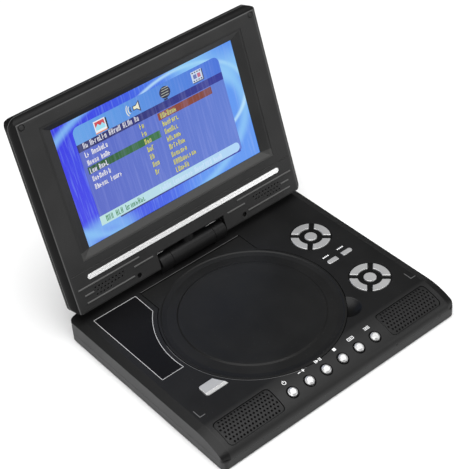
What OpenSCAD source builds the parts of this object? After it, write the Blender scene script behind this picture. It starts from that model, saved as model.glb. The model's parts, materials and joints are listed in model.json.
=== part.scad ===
// Portable DVD player: clamshell base with a disc bay, and a screen lid that tilts and swivels.
// Millimetres. X runs right, Y runs back, Z runs up. The origin is on the resting plane,
// in the middle of the base. The lid is drawn open, at its normal viewing angle.

/* [Base] */
// Width of the base
base_w = 205.7; // [203:0.1:210]
// Depth of the base
base_d = 163; // [161:1:166]
// Height of the two case halves together
case_h = 18; // [17.6:0.1:19]
// Thickness of the case walls
wall = 2; // [1.6:0.1:2.2]

/* [Disc bay] */
// Radius of the round disc door
door_r = 63.7; // [63:0.1:64.5]
// Sideways place of the disc's centre
disc_x = -7.6; // [-8:0.1:-7]
// Radius of the well that the disc lies in
well_r = 61.4; // [61:0.1:61.6]

/* [Lid] */
// Width of the lid
lid_w = 205; // [203:0.1:210]
// Distance from the lid's lower edge to its upper edge
lid_h = 145.6; // [144:0.2:148]
// Thickness of the lid
lid_t = 13; // [12.6:0.1:13.4]
// Width of the visible screen
screen_w = 151.6; // [150:0.1:153]
// Height of the visible screen
screen_h = 86.8; // [86:0.1:88]
// Angle between the closed lid and the lid as drawn
lid_open = 107.4; // [100:0.1:115]

/* [Hinge] */
// Radius of the hinge barrel and of its knuckles
barrel_r = 6.5; // [6.2:0.1:6.5]
// Half the length of the turning barrel
barrel_half = 18.8; // [18:0.1:19]
// Half the length of the barrel with its two fixed knuckles
knuckle_end = 28.8; // [28:0.1:28.8]

/* [Keys] */
// Outer radius of a round key pad
pad_r = 14.3; // [14:0.1:15]
// Radius of the centre key in a key pad
pad_centre_r = 4.5; // [4:0.1:5]
// Radius of a key in the front row
front_key_r = 3.2; // [3:0.1:3.8]
// Distance between the keys in the front row
front_key_pitch = 14.6; // [14:0.1:15]

/* [Hidden] */
$fn = 72;
eps = 0.01;

// case
foot_h = 1;
half_w = base_w / 2;
half_d = base_d / 2;
half_lid = lid_w / 2;
deck_z = foot_h + case_h;
deck_under = deck_z - wall;
part_z = foot_h + 6;
floor_z = foot_h + wall;
corner_r = 4;
chamfer_w = 6.1;
chamfer_h = 1.9;

// front slope: a long arc that meets the deck, then a tight nose
slope_y = -56;
slope_a = 27;
nose_r = 6.2;
slope_r = nose_r + (half_d + slope_y - nose_r) / sin(slope_a);
slope_z = deck_z - slope_r;
nose_y = slope_y - (slope_r - nose_r) * sin(slope_a);
nose_z = slope_z + (slope_r - nose_r) * cos(slope_a);

// disc bay
disc_y = 0.9;
door_half = 44.4;
door_back = 66.5;
door_gap = 0.5;
door_t = 2.4;
door_pin_y = disc_y + door_back - 2;
door_pin_z = deck_z - 2.6;
door_lug_x = 30;
door_lug_w = 9;
door_ears = [-1, 1] * (door_lug_x + door_lug_w / 2 + 2.6);
tray_top = deck_z - door_t - 0.5;
well_floor = foot_h + 10;
disc_z = foot_h + 12.4;
hub_r = 7.4;
hub_top = tray_top - 0.2;
window_half = 14.6;
window_reach = 60.4;
notch_angle = -40.2;
notch_r = 10.2;
notch_depth = 3;
land_r = 67.5;

// drive
chassis_z = foot_h + 5.5;
chassis_t = 1.2;
bay_x0 = -62.2;
bay_x1 = -13;
bay_y = 27;
rod_r = 1.5;
rod_y = 17;
rod_z = foot_h + 5.9;
screw_y = 23;
screw_r = 1.5;
screw_pitch = 3;
sled_motor_x = -7.5;
pickup_x = -23;
pickup_half = 6.5;
damper_spots = [[-58, -31], [-58, 31], [19, -31], [19, 31]];

// hinge, seen in the lid's own frame: y runs up the lid, z runs out of its face
lid_y = 68.6;
lid_a = 180 - lid_open;
lid_low = 6.4;
lid_top = lid_low + lid_h;
tilt_in = 5.25;
swivel_in = lid_t / 2;
face_gap = 1.5;
tilt_up = (face_gap + tilt_in * (1 + cos(lid_a))) / sin(lid_a);
tilt_y = lid_y + tilt_up * cos(lid_a) + tilt_in * sin(lid_a);
tilt_z = deck_z + tilt_up * sin(lid_a) - tilt_in * cos(lid_a);
cutout_half = 30;
cutout_top = 19.6;
post_r = 3;
shaft_r = 2.5;
shaft_in = 8.5;
leaf_x = 24;
leaf_t = 2;
lid_wall = 1.8;
lid_split = -6.5;
lid_edge_r = 6.1;
lid_back_r = 4.5;
lid_corner_r = 8.5;
bumper_spot = [95.2, 145.4];

// screen
screen_low = 47.6;
frame_half = 84.3;
frame_low = 41.4;
frame_top = 140.1;
panel_z = -3.1;
strip_y = 30;
strip_half = 85.2;
strip_w = 3.6;

// keys
key_lip = 0.8;
key_gap = 0.3;
key_rise = 0.3;
key_foot = deck_z - 3.1;
board_top = deck_z - 3.7;
pad_x = 73.5;
upper_pad_y = 30.7;
lower_pad_y = -29.3;
pad_inner_r = 8.6;
pad_slot = 3.8;
pill_y = 1.2;
pill_w = 4;
front_key_y = -71.5;
front_key_a = asin((slope_y - front_key_y) / slope_r);
front_key_z = slope_z + slope_r * cos(front_key_a);
front_board_top = deck_z - 8.5;
open_low = [-80, -39.1];
open_high = [-58, -29.5];

// jacks in the right wall
jack_z = foot_h + 10.2;
jack_1_y = 20;
jack_pitch = 12;
jack_r = 1.8;
jack_nose_r = 3.1;
dc_y = 58;
dc_r = 2.8;
dc_nose_r = 3.5;
dc_pin_r = 0.95;
usb_y = -14;
switch_y = 42;
switch_travel = 3;

// ---------- shared shapes ----------

// A rectangle with rounded corners, from its low corner to its high corner
module round_rect(low, high, r) {
    w = high[0] - low[0];
    h = high[1] - low[1];
    translate([low[0] + r, low[1]]) square([w - 2 * r, h]);
    translate([low[0], low[1] + r]) square([w, h - 2 * r]);
    for (x = [low[0] + r, high[0] - r], y = [low[1] + r, high[1] - r])
        translate([x, y]) circle(r = r);
}

// A flat prism between two heights
module slab(z0, z1) {
    translate([0, 0, z0]) linear_extrude(z1 - z0) children();
}

// A solid box between two corners
module block(low, high) {
    translate(low) cube(high - low);
}

// Puts children on the lid, in the lid's own frame
module on_lid() {
    translate([0, lid_y, deck_z]) rotate([lid_a, 0, 0]) children();
}

// Runs a side view, drawn as [y, z], through from -w to w along X
module through_x(w) {
    translate([-w, 0, 0]) rotate([90, 0, 90]) linear_extrude(2 * w) children();
}

// Runs a front view, drawn as [x, z], from y0 to y1 along Y
module through_y(y0, y1) {
    translate([0, y1, 0]) rotate([90, 0, 0]) linear_extrude(y1 - y0) children();
}

// A roller along X whose ends taper as the case's edges do
module tapered_roller(r, d) {
    w = half_w - d;
    rotate([0, 90, 0]) rotate_extrude()
        polygon([[0, -w], [r - chamfer_h, -w], [r, chamfer_w - w],
            [r, w - chamfer_w], [r - chamfer_h, w], [0, w]]);
}

// The case's outer form, or its inner form when d is the wall
module case_form(d) {
    w = half_w - d;
    top = deck_z - d;
    low = foot_h + d;
    a = [slope_y, slope_z];
    n = [-sin(slope_a), cos(slope_a)];
    intersection() {
        slab(low, top + 1)
            round_rect([-w, d - half_d], [w, half_d - d], max(corner_r - d, 1));
        union() {
            through_y(slope_y, half_d)
                polygon([[-w, low], [w, low], [w, top - chamfer_h], [w - chamfer_w, top],
                    [chamfer_w - w, top], [-w, top - chamfer_h]]);
            intersection() {
                translate([0, slope_y, slope_z]) tapered_roller(slope_r - d, d);
                through_x(half_w) polygon([a + [1, 0], a + [1, 2 * slope_r], a + 2 * slope_r * n]);
            }
            translate([0, nose_y, nose_z]) tapered_roller(nose_r - d, d);
            through_x(w) polygon([[slope_y + 1, low], [d - half_d, low], [d - half_d, nose_z],
                [nose_y, nose_z], [slope_y + 1, top - 8]]);
        }
    }
}

// The disc door's outline, made smaller by d
module door_outline(d) {
    circle(r = door_r - d, $fn = 120);
    translate([d - door_half, 0]) square([2 * (door_half - d), door_back - d]);
}

module at_disc() {
    translate([disc_x, disc_y, 0]) children();
}

// The glossy plate's outline, made smaller by d
module plate_outline(d) {
    difference() {
        translate([-91.8 + d, -8.2 + d]) square([35.4 - 2 * d, 75.6 - 2 * d]);
        translate([disc_x, disc_y]) circle(r = land_r + d, $fn = 120);
    }
}

module open_outline(d) {
    difference() {
        round_rect(open_low + [d, d], open_high - [d, d], 2.2 - d);
        translate([disc_x, disc_y]) circle(r = land_r + d, $fn = 120);
    }
}

// One quarter of a key pad's ring, turned to face a direction
module pad_arc(grow, turn) {
    side = pad_slot / 2 - grow;
    rotate(turn) intersection() {
        difference() {
            circle(r = pad_r + grow);
            circle(r = pad_inner_r - grow);
        }
        polygon([[side * sqrt(2), 0], [30, 30 - side * sqrt(2)], [30, side * sqrt(2) - 30]]);
    }
}

// A pill key's outline, round at the end that side points to
module pill_outline(grow, side) {
    half_l = 4.5 + grow;
    half_h = pill_w / 2 + grow;
    translate([side * (half_l - half_h), 0]) circle(r = half_h);
    translate([side > 0 ? -half_l : half_h - half_l, -half_h]) square([2 * half_l - half_h, 2 * half_h]);
}

function pill_x(side) = pad_x + 0.3 + side * 6.8;

// A key that rises through the deck, with a wider foot below it
module key_body() {
    slab(key_foot + 1, deck_z + key_rise) children(0);
    slab(key_foot, key_foot + 1) children(1);
}

// Puts children on the front slope, with z along the slope's normal
module at_front_key(n) {
    translate([(n - 3.5) * front_key_pitch, front_key_y, front_key_z])
        rotate([front_key_a, 0, 0]) children();
}

module grille_outline(grow) {
    for (side = [-1, 1])
        translate([side * 70.5, 0]) round_rect([-23 - grow, -78 - grow], [23 + grow, -59 + grow], 3);
}

boss_spots = [[-95.5, -56], [95.5, -56], [-95.5, 72], [95.5, 72]];
foot_spots = [[-88, -68], [88, -68], [-88, 68], [88, 68]];

// ---------- base: case ----------

module bottom_case() color("#3a3a3c") {
    difference() {
        union() {
            difference() {
                case_form(0);
                block([-half_w - 1, -half_d - 1, part_z], [half_w + 1, half_d + 1, deck_z + 2]);
                case_form(wall);
            }
            for (p = boss_spots) translate([p[0], p[1], foot_h + 1]) cylinder(r = 3.2, h = part_z - foot_h);
        }
        for (p = boss_spots) {
            translate([p[0], p[1], foot_h - 1]) cylinder(r = 1.6, h = 12);
            translate([p[0], p[1], foot_h - 1]) cylinder(r = 3, h = 3);
        }
        for (p = foot_spots) translate([p[0], p[1], foot_h - eps]) cylinder(r = 4.1, h = 0.8);
        block([-97.3, -38.3, foot_h - 1], [-72.7, 60.3, foot_h + 1]);
        block([-95, -36, foot_h - 1], [-75, 58, floor_z + 1]);
        for (k = [0:7]) block([-30 + 8 * k, 48, foot_h - 1], [-27 + 8 * k, 66, floor_z + 1]);
    }
}

module battery_cover() color("#303032")
    block([-97, -38, foot_h], [-73, 60, foot_h + 0.9]);

module battery_pack() color("#26324a")
    slab(floor_z + 0.2, floor_z + 11.2) round_rect([-96.5, -36], [-73.5, 58], 2.5);

module knuckle_form(r) {
    for (side = [-1, 1]) {
        x0 = side > 0 ? barrel_half + 0.3 : -knuckle_end;
        translate([x0, tilt_y, tilt_z]) rotate([0, 90, 0])
            cylinder(r = r, h = knuckle_end - barrel_half - 0.3);
    }
}

module top_case() color("#2b2b2d") {
    difference() {
        union() {
            difference() {
                case_form(0);
                block([-half_w - 1, -half_d - 1, -1], [half_w + 1, half_d + 1, part_z + 0.12]);
                case_form(wall);
            }
            for (p = boss_spots) translate([p[0], p[1], part_z + 1.4])
                cylinder(r = 3.2, h = deck_z - part_z - 3.1);
            // a thicker floor under the finger notch
            at_disc() rotate(notch_angle) translate([door_r + 7, 0, deck_z - 5]) cylinder(r = 9.5, h = 4);
            knuckle_form(barrel_r);
            for (side = [-1, 1]) {
                x0 = side > 0 ? barrel_half + 0.3 : -knuckle_end;
                block([x0, tilt_y - 4.4, deck_z - 1],
                    [x0 + knuckle_end - barrel_half - 0.3, tilt_y + 4.4, tilt_z]);
            }
        }
        at_disc() slab(deck_under - 1.5, deck_z + 1) {
            door_outline(-door_gap);
            translate([-door_half - door_gap, 0]) square([2 * (door_half + door_gap), door_back + 0.9]);
        }
        ball_r = (notch_r * notch_r + notch_depth * notch_depth) / (2 * notch_depth);
        at_disc() rotate(notch_angle) translate([door_r, 0, deck_z + ball_r - notch_depth])
            sphere(r = ball_r);
        slab(deck_z - 1, deck_z + 1) plate_outline(0);
        slab(deck_under - 1, deck_z + 1) open_outline(-0.25);
        for (y = [upper_pad_y, lower_pad_y]) translate([pad_x, y]) {
            slab(deck_z - 0.5, deck_z + 1) circle(r = pad_r + 0.8);
            slab(deck_under - 1, deck_z) circle(r = pad_centre_r + key_gap);
            for (turn = [0:90:270]) slab(deck_under - 1, deck_z) pad_arc(key_gap, turn);
        }
        for (side = [-1, 1]) translate([pill_x(side), pill_y])
            slab(deck_under - 1, deck_z + 1) pill_outline(key_gap, side);
        for (n = [1:6]) at_front_key(n) translate([0, 0, -4]) cylinder(r = front_key_r + 0.6, h = 6);
        grille_cut();
        for (side = [-1, 1]) {
            translate([side * leaf_x - leaf_t / 2 - 0.1, tilt_y, tilt_z]) rotate([0, 90, 0])
                cylinder(r = 4.2, h = leaf_t + 0.2);
            block([side * leaf_x - leaf_t / 2 - 0.1, tilt_y - 3.7, deck_under - 1],
                [side * leaf_x + leaf_t / 2 + 0.1, tilt_y + 3.7, tilt_z]);
            translate([side > 0 ? barrel_half : -knuckle_end + 1.2, tilt_y, tilt_z]) rotate([0, 90, 0])
                cylinder(r = shaft_r, h = knuckle_end - barrel_half - 1.2);
        }
        for (k = [0, 1]) translate([half_w - 3, jack_1_y - k * jack_pitch, jack_z]) rotate([0, 90, 0])
            cylinder(r = jack_nose_r + 0.1, h = 5);
        translate([half_w - 3, dc_y, jack_z]) rotate([0, 90, 0]) cylinder(r = dc_nose_r + 0.1, h = 5);
        block([half_w - 3, usb_y - 7, jack_z - 3.2], [half_w + 1, usb_y + 7, jack_z + 3.2]);
        block([half_w - 3, switch_y - 4.5, jack_z - 1.6], [half_w + 1, switch_y + 4.5, jack_z + 1.6]);
        for (p = boss_spots) translate([p[0], p[1], part_z]) cylinder(r = 1.2, h = 6);
        corner_marks();
        port_seam();
    }
    for (x = door_ears) translate([disc_x + x, door_pin_y, door_pin_z]) door_ear();
}

// An ear that holds one of the disc door's pins; it reaches round under the door's rear edge
module door_ear() {
    difference() {
        union() {
            translate([-1.5, 0, 0]) rotate([0, 90, 0]) cylinder(r = 1.7, h = 3);
            block([-1.5, -1.5, -4.4], [1.5, 1.5, 0]);
            block([-1.5, -1.5, -4.4], [1.5, 5.5, -3.2]);
            block([-1.5, 3.2, -4.4], [1.5, 5.5, 1.2]);
        }
        translate([-2, 0, 0]) rotate([0, 90, 0]) cylinder(r = 0.8, h = 4);
    }
}

// Two engraved corner marks on the deck
module corner_marks() {
    for (x = [-94.6, 92.6]) {
        block([x - 0.3, -50, deck_z - 0.3], [x + 0.3, -43, deck_z + 1]);
        block([x - 0.3, -50, deck_z - 0.3], [x + 4.2, -49.4, deck_z + 1]);
    }
}

// A shallow blanking panel in the front face
module port_seam() {
    for (x = [47, 88]) block([x - 0.3, -half_d - 1, foot_h + 7], [x + 0.3, 0.4 - half_d, foot_h + 12]);
    block([47, -half_d - 1, foot_h + 11.6], [88, 0.4 - half_d, foot_h + 12.2]);
}

// The part of the front slope's wall that a speaker grille fills
module grille_cut() {
    intersection() {
        slab(foot_h + 8, deck_z + 1) grille_outline(0);
        difference() {
            slab(foot_h + 8, deck_z + 1) grille_outline(1);
            case_form(wall);
        }
    }
}

module speaker_grilles() color("#262628")
    intersection() {
        slab(foot_h + 8, deck_z + 1) grille_outline(-0.45);
        difference() {
            case_form(0.4);
            case_form(wall - 0.2);
        }
    }

module gloss_plate() color("#0c0c0e")
    slab(deck_z - 1, deck_z - 0.1) plate_outline(0.2);

module rubber_feet() color("#1a1a1a")
    for (p = foot_spots) translate([p[0], p[1], 0]) cylinder(r = 4, h = foot_h + 0.7);

module case_screws() color("silver")
    for (p = boss_spots) translate([p[0], p[1], 0]) {
        translate([0, 0, foot_h + 0.3]) cylinder(r = 2.7, h = 1.6);
        translate([0, 0, foot_h + 1.8]) cylinder(r = 1.2, h = 9);
    }

// ---------- base: disc bay and drive ----------

module disc_tray() color("#1c1c1e") {
    rim_r = well_r + 4.2;
    difference() {
        intersection() {
            case_form(wall + 0.2);
            union() {
                at_disc() translate([0, 0, tray_top - 1.4]) cylinder(r = rim_r, h = 1.4, $fn = 120);
                at_disc() translate([0, 0, well_floor - 1.2])
                    cylinder(r = well_r + 1.2, h = tray_top - well_floor + 1.2, $fn = 120);
            }
        }
        at_disc() translate([0, 0, well_floor]) cylinder(r = well_r, h = 10, $fn = 120);
        at_disc() slab(well_floor - 2, well_floor + 1) {
            circle(r = window_half);
            translate([-window_reach, -window_half]) square([window_reach, 2 * window_half]);
        }
        at_disc() rotate(notch_angle) translate([door_r + 7, 0, 5]) cylinder(r = 10, h = 12);
        // room for the door's lugs at the back
        at_disc() block([-42, 61.9, door_pin_z - 4], [42, 80, door_pin_z + 4]);
    }
}

module disc_door() color("#29292b") {
    lug_z = door_pin_z;
    difference() {
        intersection() {
            // the front of the door follows the front slope
            case_form(0);
            union() {
                at_disc() slab(deck_z - door_t, deck_z) door_outline(0);
                for (side = [-1, 1]) {
                    x0 = disc_x + side * door_lug_x - door_lug_w / 2;
                    translate([x0, door_pin_y, lug_z]) rotate([0, 90, 0])
                        cylinder(r = 1.8, h = door_lug_w);
                }
                // snap hook beside the button
                at_disc() rotate(212)
                    block([door_r - 3.2, -2.5, deck_z - 4.4], [door_r - 2.5, 2.5, deck_z - door_t + 0.1]);
            }
        }
        // shallow ring valley between the raised middle and the rim
        at_disc() translate([0, 0, deck_z]) rotate_extrude($fn = 120)
            polygon([[50, 0.1], [51.2, -0.7], [58, -0.9], [61.4, -0.5], [62.4, 0.1]]);
        // relief along the rear edge, so that it swings clear of the deck
        at_disc() block([-door_half - 1, door_back - 0.9, deck_z - 0.8],
            [door_half + 1, door_back + 1, deck_z + 1]);
        // dished middle
        at_disc() translate([0, 0, deck_z]) rotate_extrude($fn = 120)
            polygon([[0, 1], [0, -0.55], [40, -0.35], [48.6, 0.02], [48.6, 1]]);
        for (side = [-1, 1])
            translate([disc_x + side * door_lug_x - door_lug_w / 2 - 1, door_pin_y, lug_z])
                rotate([0, 90, 0]) cylinder(r = 0.85, h = door_lug_w + 2);
        // relief over each pin socket
        for (x = door_ears)
            block([disc_x + x - 2, door_pin_y - 2.6, 0], [disc_x + x + 2, door_pin_y + 2.6, door_pin_z + 2]);
    }
}

module door_pins() color("silver")
    for (side = [-1, 1]) {
        x0 = side > 0 ? door_lug_x - door_lug_w / 2 : -door_lug_x - door_lug_w / 2 - 4;
        translate([disc_x + x0, door_pin_y, door_pin_z]) rotate([0, 90, 0])
            cylinder(r = 0.8, h = door_lug_w + 4);
    }

module open_button() color("#c8c8ca") {
    difference() {
        slab(key_foot + 1, deck_z + 1) open_outline(0);
        // bright bevel along the front edge
        translate([0, open_low[1], deck_z - 0.3]) rotate([35, 0, 0])
            block([-90, -6, 0], [-50, 4, 6]);
    }
    slab(key_foot, key_foot + 1) translate([-72.5, -34.5]) square([11, 6], center = true);
}

module drive_chassis() color("#9a9da0")
    at_disc() difference() {
        slab(chassis_z, chassis_z + chassis_t) round_rect([bay_x0 - 3, -35], [24, 35], 3);
        slab(chassis_z - 1, chassis_z + 2) {
            circle(r = 10.6);
            translate([bay_x0, -bay_y]) square([bay_x1 - bay_x0, 2 * bay_y]);
            translate([bay_x1 - 1, screw_y - 4]) square([16, 8]);
            for (p = damper_spots) translate(p) circle(r = 1.9);
        }
    }

module chassis_dampers() color("#202020")
    at_disc() for (p = damper_spots) translate([p[0], p[1], floor_z]) difference() {
        union() {
            cylinder(r = 2.6, h = chassis_z - floor_z - 0.02);
            cylinder(r = 1.85, h = chassis_z - floor_z + chassis_t + 0.2);
            translate([0, 0, chassis_z - floor_z + chassis_t + 0.02]) cylinder(r = 2.6, h = 0.8);
        }
        translate([0, 0, 1]) cylinder(r = 0.9, h = 12);
    }

module spindle_motor() color("#b4b6b8")
    at_disc() translate([0, 0, floor_z]) difference() {
        union() {
            cylinder(r = 10.4, h = 5);
            translate([0, 0, 5 - eps]) cylinder(r = 4, h = 1.2);
        }
        translate([0, 0, -1]) cylinder(r = 1.05, h = 12);
    }

module spindle_hub() color("#2a2a2c")
    at_disc() {
        translate([0, 0, floor_z + 0.4]) cylinder(r = 1, h = 8);
        translate([0, 0, floor_z + 6.6]) cylinder(r = 8.4, h = 1);
        translate([0, 0, floor_z + 7.5]) cylinder(r = 13, h = disc_z - floor_z - 7.5);
        translate([0, 0, disc_z - eps]) cylinder(r = hub_r, h = 1.3);
        translate([0, 0, disc_z + 1.2]) cylinder(r1 = hub_r, r2 = 5, h = hub_top - disc_z - 1.2);
    }

// A straight round rod along the disc bay, from one place to another
module bay_rod(y, x0, x1, r) {
    translate([x0, y, rod_z]) rotate([0, 90, 0]) cylinder(r = r, h = x1 - x0);
}

module guide_rods() color("silver")
    at_disc() for (side = [-1, 1]) bay_rod(side * rod_y, bay_x0, bay_x1, rod_r);

module optical_pickup() color("#3c3f42")
    at_disc() translate([pickup_x, 0, 0]) {
        difference() {
            union() {
                block([-pickup_half, -14.6, rod_z - 1.6], [pickup_half, 14.6, well_floor - 1.5]);
                for (side = [-1, 1])
                    block([-5, side * rod_y - 3, rod_z - 2.4], [5, side * rod_y + 3, rod_z + 2.4]);
                translate([0, 0, well_floor - 2.3]) cylinder(r = 4.5, h = 2.2);
                // follower on the lead screw
                block([-4, rod_y + 2, rod_z - 2.2], [4, screw_y + 2.4, rod_z + 2.2]);
            }
            for (side = [-1, 1]) bay_rod(side * rod_y, -10, 10, rod_r + 0.05);
            bay_rod(screw_y, -10, 10, screw_r + 0.1);
            translate([0, 0, well_floor - 1]) cylinder(r = 2.8, h = 2);
        }
    }

module pickup_lens() color("#9fb8d8")
    at_disc() translate([pickup_x, 0, well_floor - 1]) {
        cylinder(r = 2.78, h = 0.6);
        intersection() {
            translate([0, 0, -4]) sphere(r = 5.2);
            translate([0, 0, 0.5]) cylinder(r = 2.4, h = 2);
        }
    }

module lead_screw() color("#c0c0c0")
    at_disc() difference() {
        bay_rod(screw_y, bay_x0 + 0.2, sled_motor_x + 3, screw_r);
        translate([bay_x0, screw_y, rod_z]) rotate([0, 90, 0]) for (k = [1:15])
            translate([0, 0, k * screw_pitch])
                rotate_extrude() polygon([[1.2, 0.5], [1.7, 0.1], [1.7, 0.9]]);
    }

module sled_motor() color("#a8a8aa")
    at_disc() difference() {
        bay_rod(screw_y, sled_motor_x, sled_motor_x + 9, 2.7);
        bay_rod(screw_y, sled_motor_x - 1, sled_motor_x + 3.2, screw_r + 0.05);
    }

module speakers() color("#202022")
    for (side = [-1, 1]) translate([side * 70.5, -68.5, 0]) {
        slab(floor_z + 1, floor_z + 5) round_rect([-19, -7.4], [19, 7.4], 7.3);
        slab(floor_z + 5 - eps, floor_z + 6.5) round_rect([-17, -5.6], [17, 5.6], 5.5);
        slab(floor_z, floor_z + 1.1) circle(r = 6.5);
    }

module main_board() color("#1d5a36") {
    difference() {
        slab(floor_z + 1.4, floor_z + 3) round_rect([60, -48], [91, 64], 1);
        for (x = [63, 88], y = [-45, 61]) slab(floor_z, floor_z + 5) translate([x, y]) circle(r = 1.3);
    }
    block([66, -30, floor_z + 2.9], [80, -16, floor_z + 4.2]);
    block([64, 5, floor_z + 2.9], [76, 15, floor_z + 4.1]);
    block([66, 30, floor_z + 2.9], [78, 38, floor_z + 4.4]);
    for (y = [-8, 22, 48]) translate([84, y, floor_z + 2.9]) cylinder(r = 2.5, h = 4);
}

module key_boards() color("#1d5a36") {
    slab(board_top - 1.4, board_top) round_rect([61, -46], [88, 47], 1);
    slab(front_board_top - 1.2, front_board_top) round_rect([-44, -77], [44, -64], 1);
}

module dc_jack() color("#151515")
    translate([0, dc_y, jack_z]) rotate([0, 90, 0]) {
        difference() {
            translate([0, 0, half_w - 12]) cylinder(r = dc_nose_r, h = 11.6);
            translate([0, 0, half_w - 10]) cylinder(r = dc_r, h = 12);
        }
        translate([0, 0, half_w - 10.1]) cylinder(r = dc_pin_r, h = 8);
    }

module audio_jacks() color("#1b1b1b")
    for (k = [0, 1]) translate([half_w - 14, jack_1_y - k * jack_pitch, jack_z]) difference() {
        union() {
            translate([0, -4, -3.4]) cube([11.8, 8, 6.8]);
            rotate([0, 90, 0]) cylinder(r = jack_nose_r, h = 13.8);
        }
        translate([1.5, 0, 0]) rotate([0, 90, 0]) cylinder(r = jack_r, h = 14);
    }

module usb_socket() color("#b8babc")
    difference() {
        block([half_w - 14, usb_y - 6.8, jack_z - 3], [half_w - 0.3, usb_y + 6.8, jack_z + 3]);
        block([half_w - 13, usb_y - 6.3, jack_z - 2.5], [half_w, usb_y + 6.3, jack_z + 0.1]);
        block([half_w - 13, usb_y - 6.3, jack_z + 1.9], [half_w, usb_y + 6.3, jack_z + 2.5]);
        block([half_w - 2, usb_y - 6.3, jack_z], [half_w, usb_y + 6.3, jack_z + 2.5]);
    }

module power_switch() color("#2a2a2a") {
    block([half_w - 4.4, switch_y - 4, jack_z - 1.3],
        [half_w + 1.1, switch_y + 3 - switch_travel, jack_z + 1.3]);
    block([half_w - 6, switch_y - 5, jack_z - 2.4], [half_w - 3.2, switch_y + 1.6, jack_z + 2.4]);
}

// ---------- keys ----------

module front_key(n) color("#d0d0d2")
    at_front_key(n) {
        translate([0, 0, -3]) cylinder(r = front_key_r, h = 3.7);
        translate([0, 0, 0.7 - eps]) cylinder(r1 = front_key_r, r2 = front_key_r - 1.2, h = 0.9);
        translate([0, 0, -3.2]) cylinder(r = front_key_r + key_lip, h = 0.8);
    }

module pad_key(y, turn) color("#c8c8ca")
    translate([pad_x, y, 0]) key_body() {
        pad_arc(0, turn);
        pad_arc(key_lip - 0.1, turn);
    }

module pad_centre(y) color("#d0d0d2")
    translate([pad_x, y, 0]) key_body() {
        circle(r = pad_centre_r);
        circle(r = pad_centre_r + key_lip);
    }

module pill_key(side) color("#d0d0d2")
    translate([pill_x(side), pill_y, 0]) key_body() {
        pill_outline(0, side);
        pill_outline(key_lip, side);
    }

// ---------- hinge ----------

module hinge_leaves() color("#a0a2a4")
    for (side = [-1, 1]) difference() {
        union() {
            translate([side * leaf_x - leaf_t / 2, tilt_y, tilt_z]) rotate([0, 90, 0])
                cylinder(r = 4, h = leaf_t);
            block([side * leaf_x - leaf_t / 2, tilt_y - 3.5, floor_z + 3],
                [side * leaf_x + leaf_t / 2, tilt_y + 3.2, tilt_z]);
            block([side * leaf_x - leaf_t / 2, tilt_y - 12, floor_z + 3],
                [side * leaf_x + 8, tilt_y + 3.2, floor_z + 4.6]);
        }
        translate([side * leaf_x - 5, tilt_y, tilt_z]) rotate([0, 90, 0]) cylinder(r = shaft_r, h = 10);
        translate([side * leaf_x + 4, tilt_y - 8, floor_z]) cylinder(r = 1.6, h = 8);
    }

module hinge_shafts() color("silver")
    for (side = [-1, 1])
        translate([side > 0 ? shaft_in + 0.3 : 1.2 - knuckle_end, tilt_y, tilt_z]) rotate([0, 90, 0])
            cylinder(r = shaft_r, h = knuckle_end - shaft_in - 1.5);

module hinge_barrel() color("#2d2d2f")
    difference() {
        union() {
            translate([-barrel_half, tilt_y, tilt_z]) rotate([0, 90, 0])
                cylinder(r = barrel_r, h = 2 * barrel_half);
            on_lid() translate([0, tilt_up, -swivel_in]) rotate([-90, 0, 0])
                cylinder(r = 5, h = cutout_top - 0.3 - tilt_up);
            // web that fills the notch behind the barrel, wider where it clears the knuckles
            on_lid() block([-barrel_half, tilt_up, -11.4], [barrel_half, 14.6, -9]);
            on_lid() block([-knuckle_end, 14.4, -11.4], [knuckle_end, cutout_top - 0.3, -9]);
        }
        for (side = [-1, 1]) translate([side > 0 ? shaft_in : -barrel_half - 1, tilt_y, tilt_z])
            rotate([0, 90, 0]) cylinder(r = shaft_r + 0.05, h = barrel_half + 1 - shaft_in);
        on_lid() translate([0, tilt_up - 2, -swivel_in]) rotate([-90, 0, 0]) cylinder(r = post_r, h = 30);
    }

module swivel_post() color("silver")
    on_lid() translate([0, tilt_up - 2, -swivel_in]) rotate([-90, 0, 0]) {
        cylinder(r = post_r, h = cutout_top + 9 - tilt_up);
        translate([0, 0, cutout_top + lid_wall + 4 - tilt_up]) cylinder(r = 4.2, h = 1.4);
    }

module swivel_plate() color("#a0a2a4")
    on_lid() difference() {
        translate([-13, cutout_top + lid_wall, -swivel_in - 4.2]) cube([26, 1.8, 8.4]);
        translate([0, cutout_top, -swivel_in]) rotate([-90, 0, 0]) cylinder(r = post_r + 0.05, h = 8);
    }

// ---------- lid ----------

// A rectangle whose four corners have radii of their own, counted round from the low corner
module uneven_rect(low, high, r) {
    polygon([[low[0] + r[0], low[1]], [high[0] - r[1], low[1]],
        [high[0] - r[1], low[1] + r[1]], [high[0], low[1] + r[1]],
        [high[0], high[1] - r[2]], [high[0] - r[2], high[1] - r[2]],
        [high[0] - r[2], high[1]], [low[0] + r[3], high[1]],
        [low[0] + r[3], high[1] - r[3]], [low[0], high[1] - r[3]],
        [low[0], low[1] + r[0]], [low[0] + r[0], low[1] + r[0]]]);
    translate(low + [r[0], r[0]]) circle(r = r[0]);
    translate([high[0] - r[1], low[1] + r[1]]) circle(r = r[1]);
    translate(high - [r[2], r[2]]) circle(r = r[2]);
    translate([low[0] + r[3], high[1] - r[3]]) circle(r = r[3]);
}

// The lid's outer form, or its inner form when d is the wall
module lid_form(d) {
    w = half_lid - d;
    y0 = lid_low + d;
    y1 = lid_top - d;
    low = d - lid_t;
    front_r = lid_edge_r - d;
    back_r = lid_back_r - d;
    intersection() {
        slab(-lid_t - 1, 1) round_rect([-w, y0], [w, y1], lid_corner_r - d);
        through_y(0, lid_top + 1)
            uneven_rect([-w, low], [w, -d], [back_r, back_r, front_r, front_r]);
        through_x(half_lid)
            uneven_rect([y0, low], [y1, -d], [lid_edge_r - d, back_r, front_r, 1.6]);
    }
}

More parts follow.
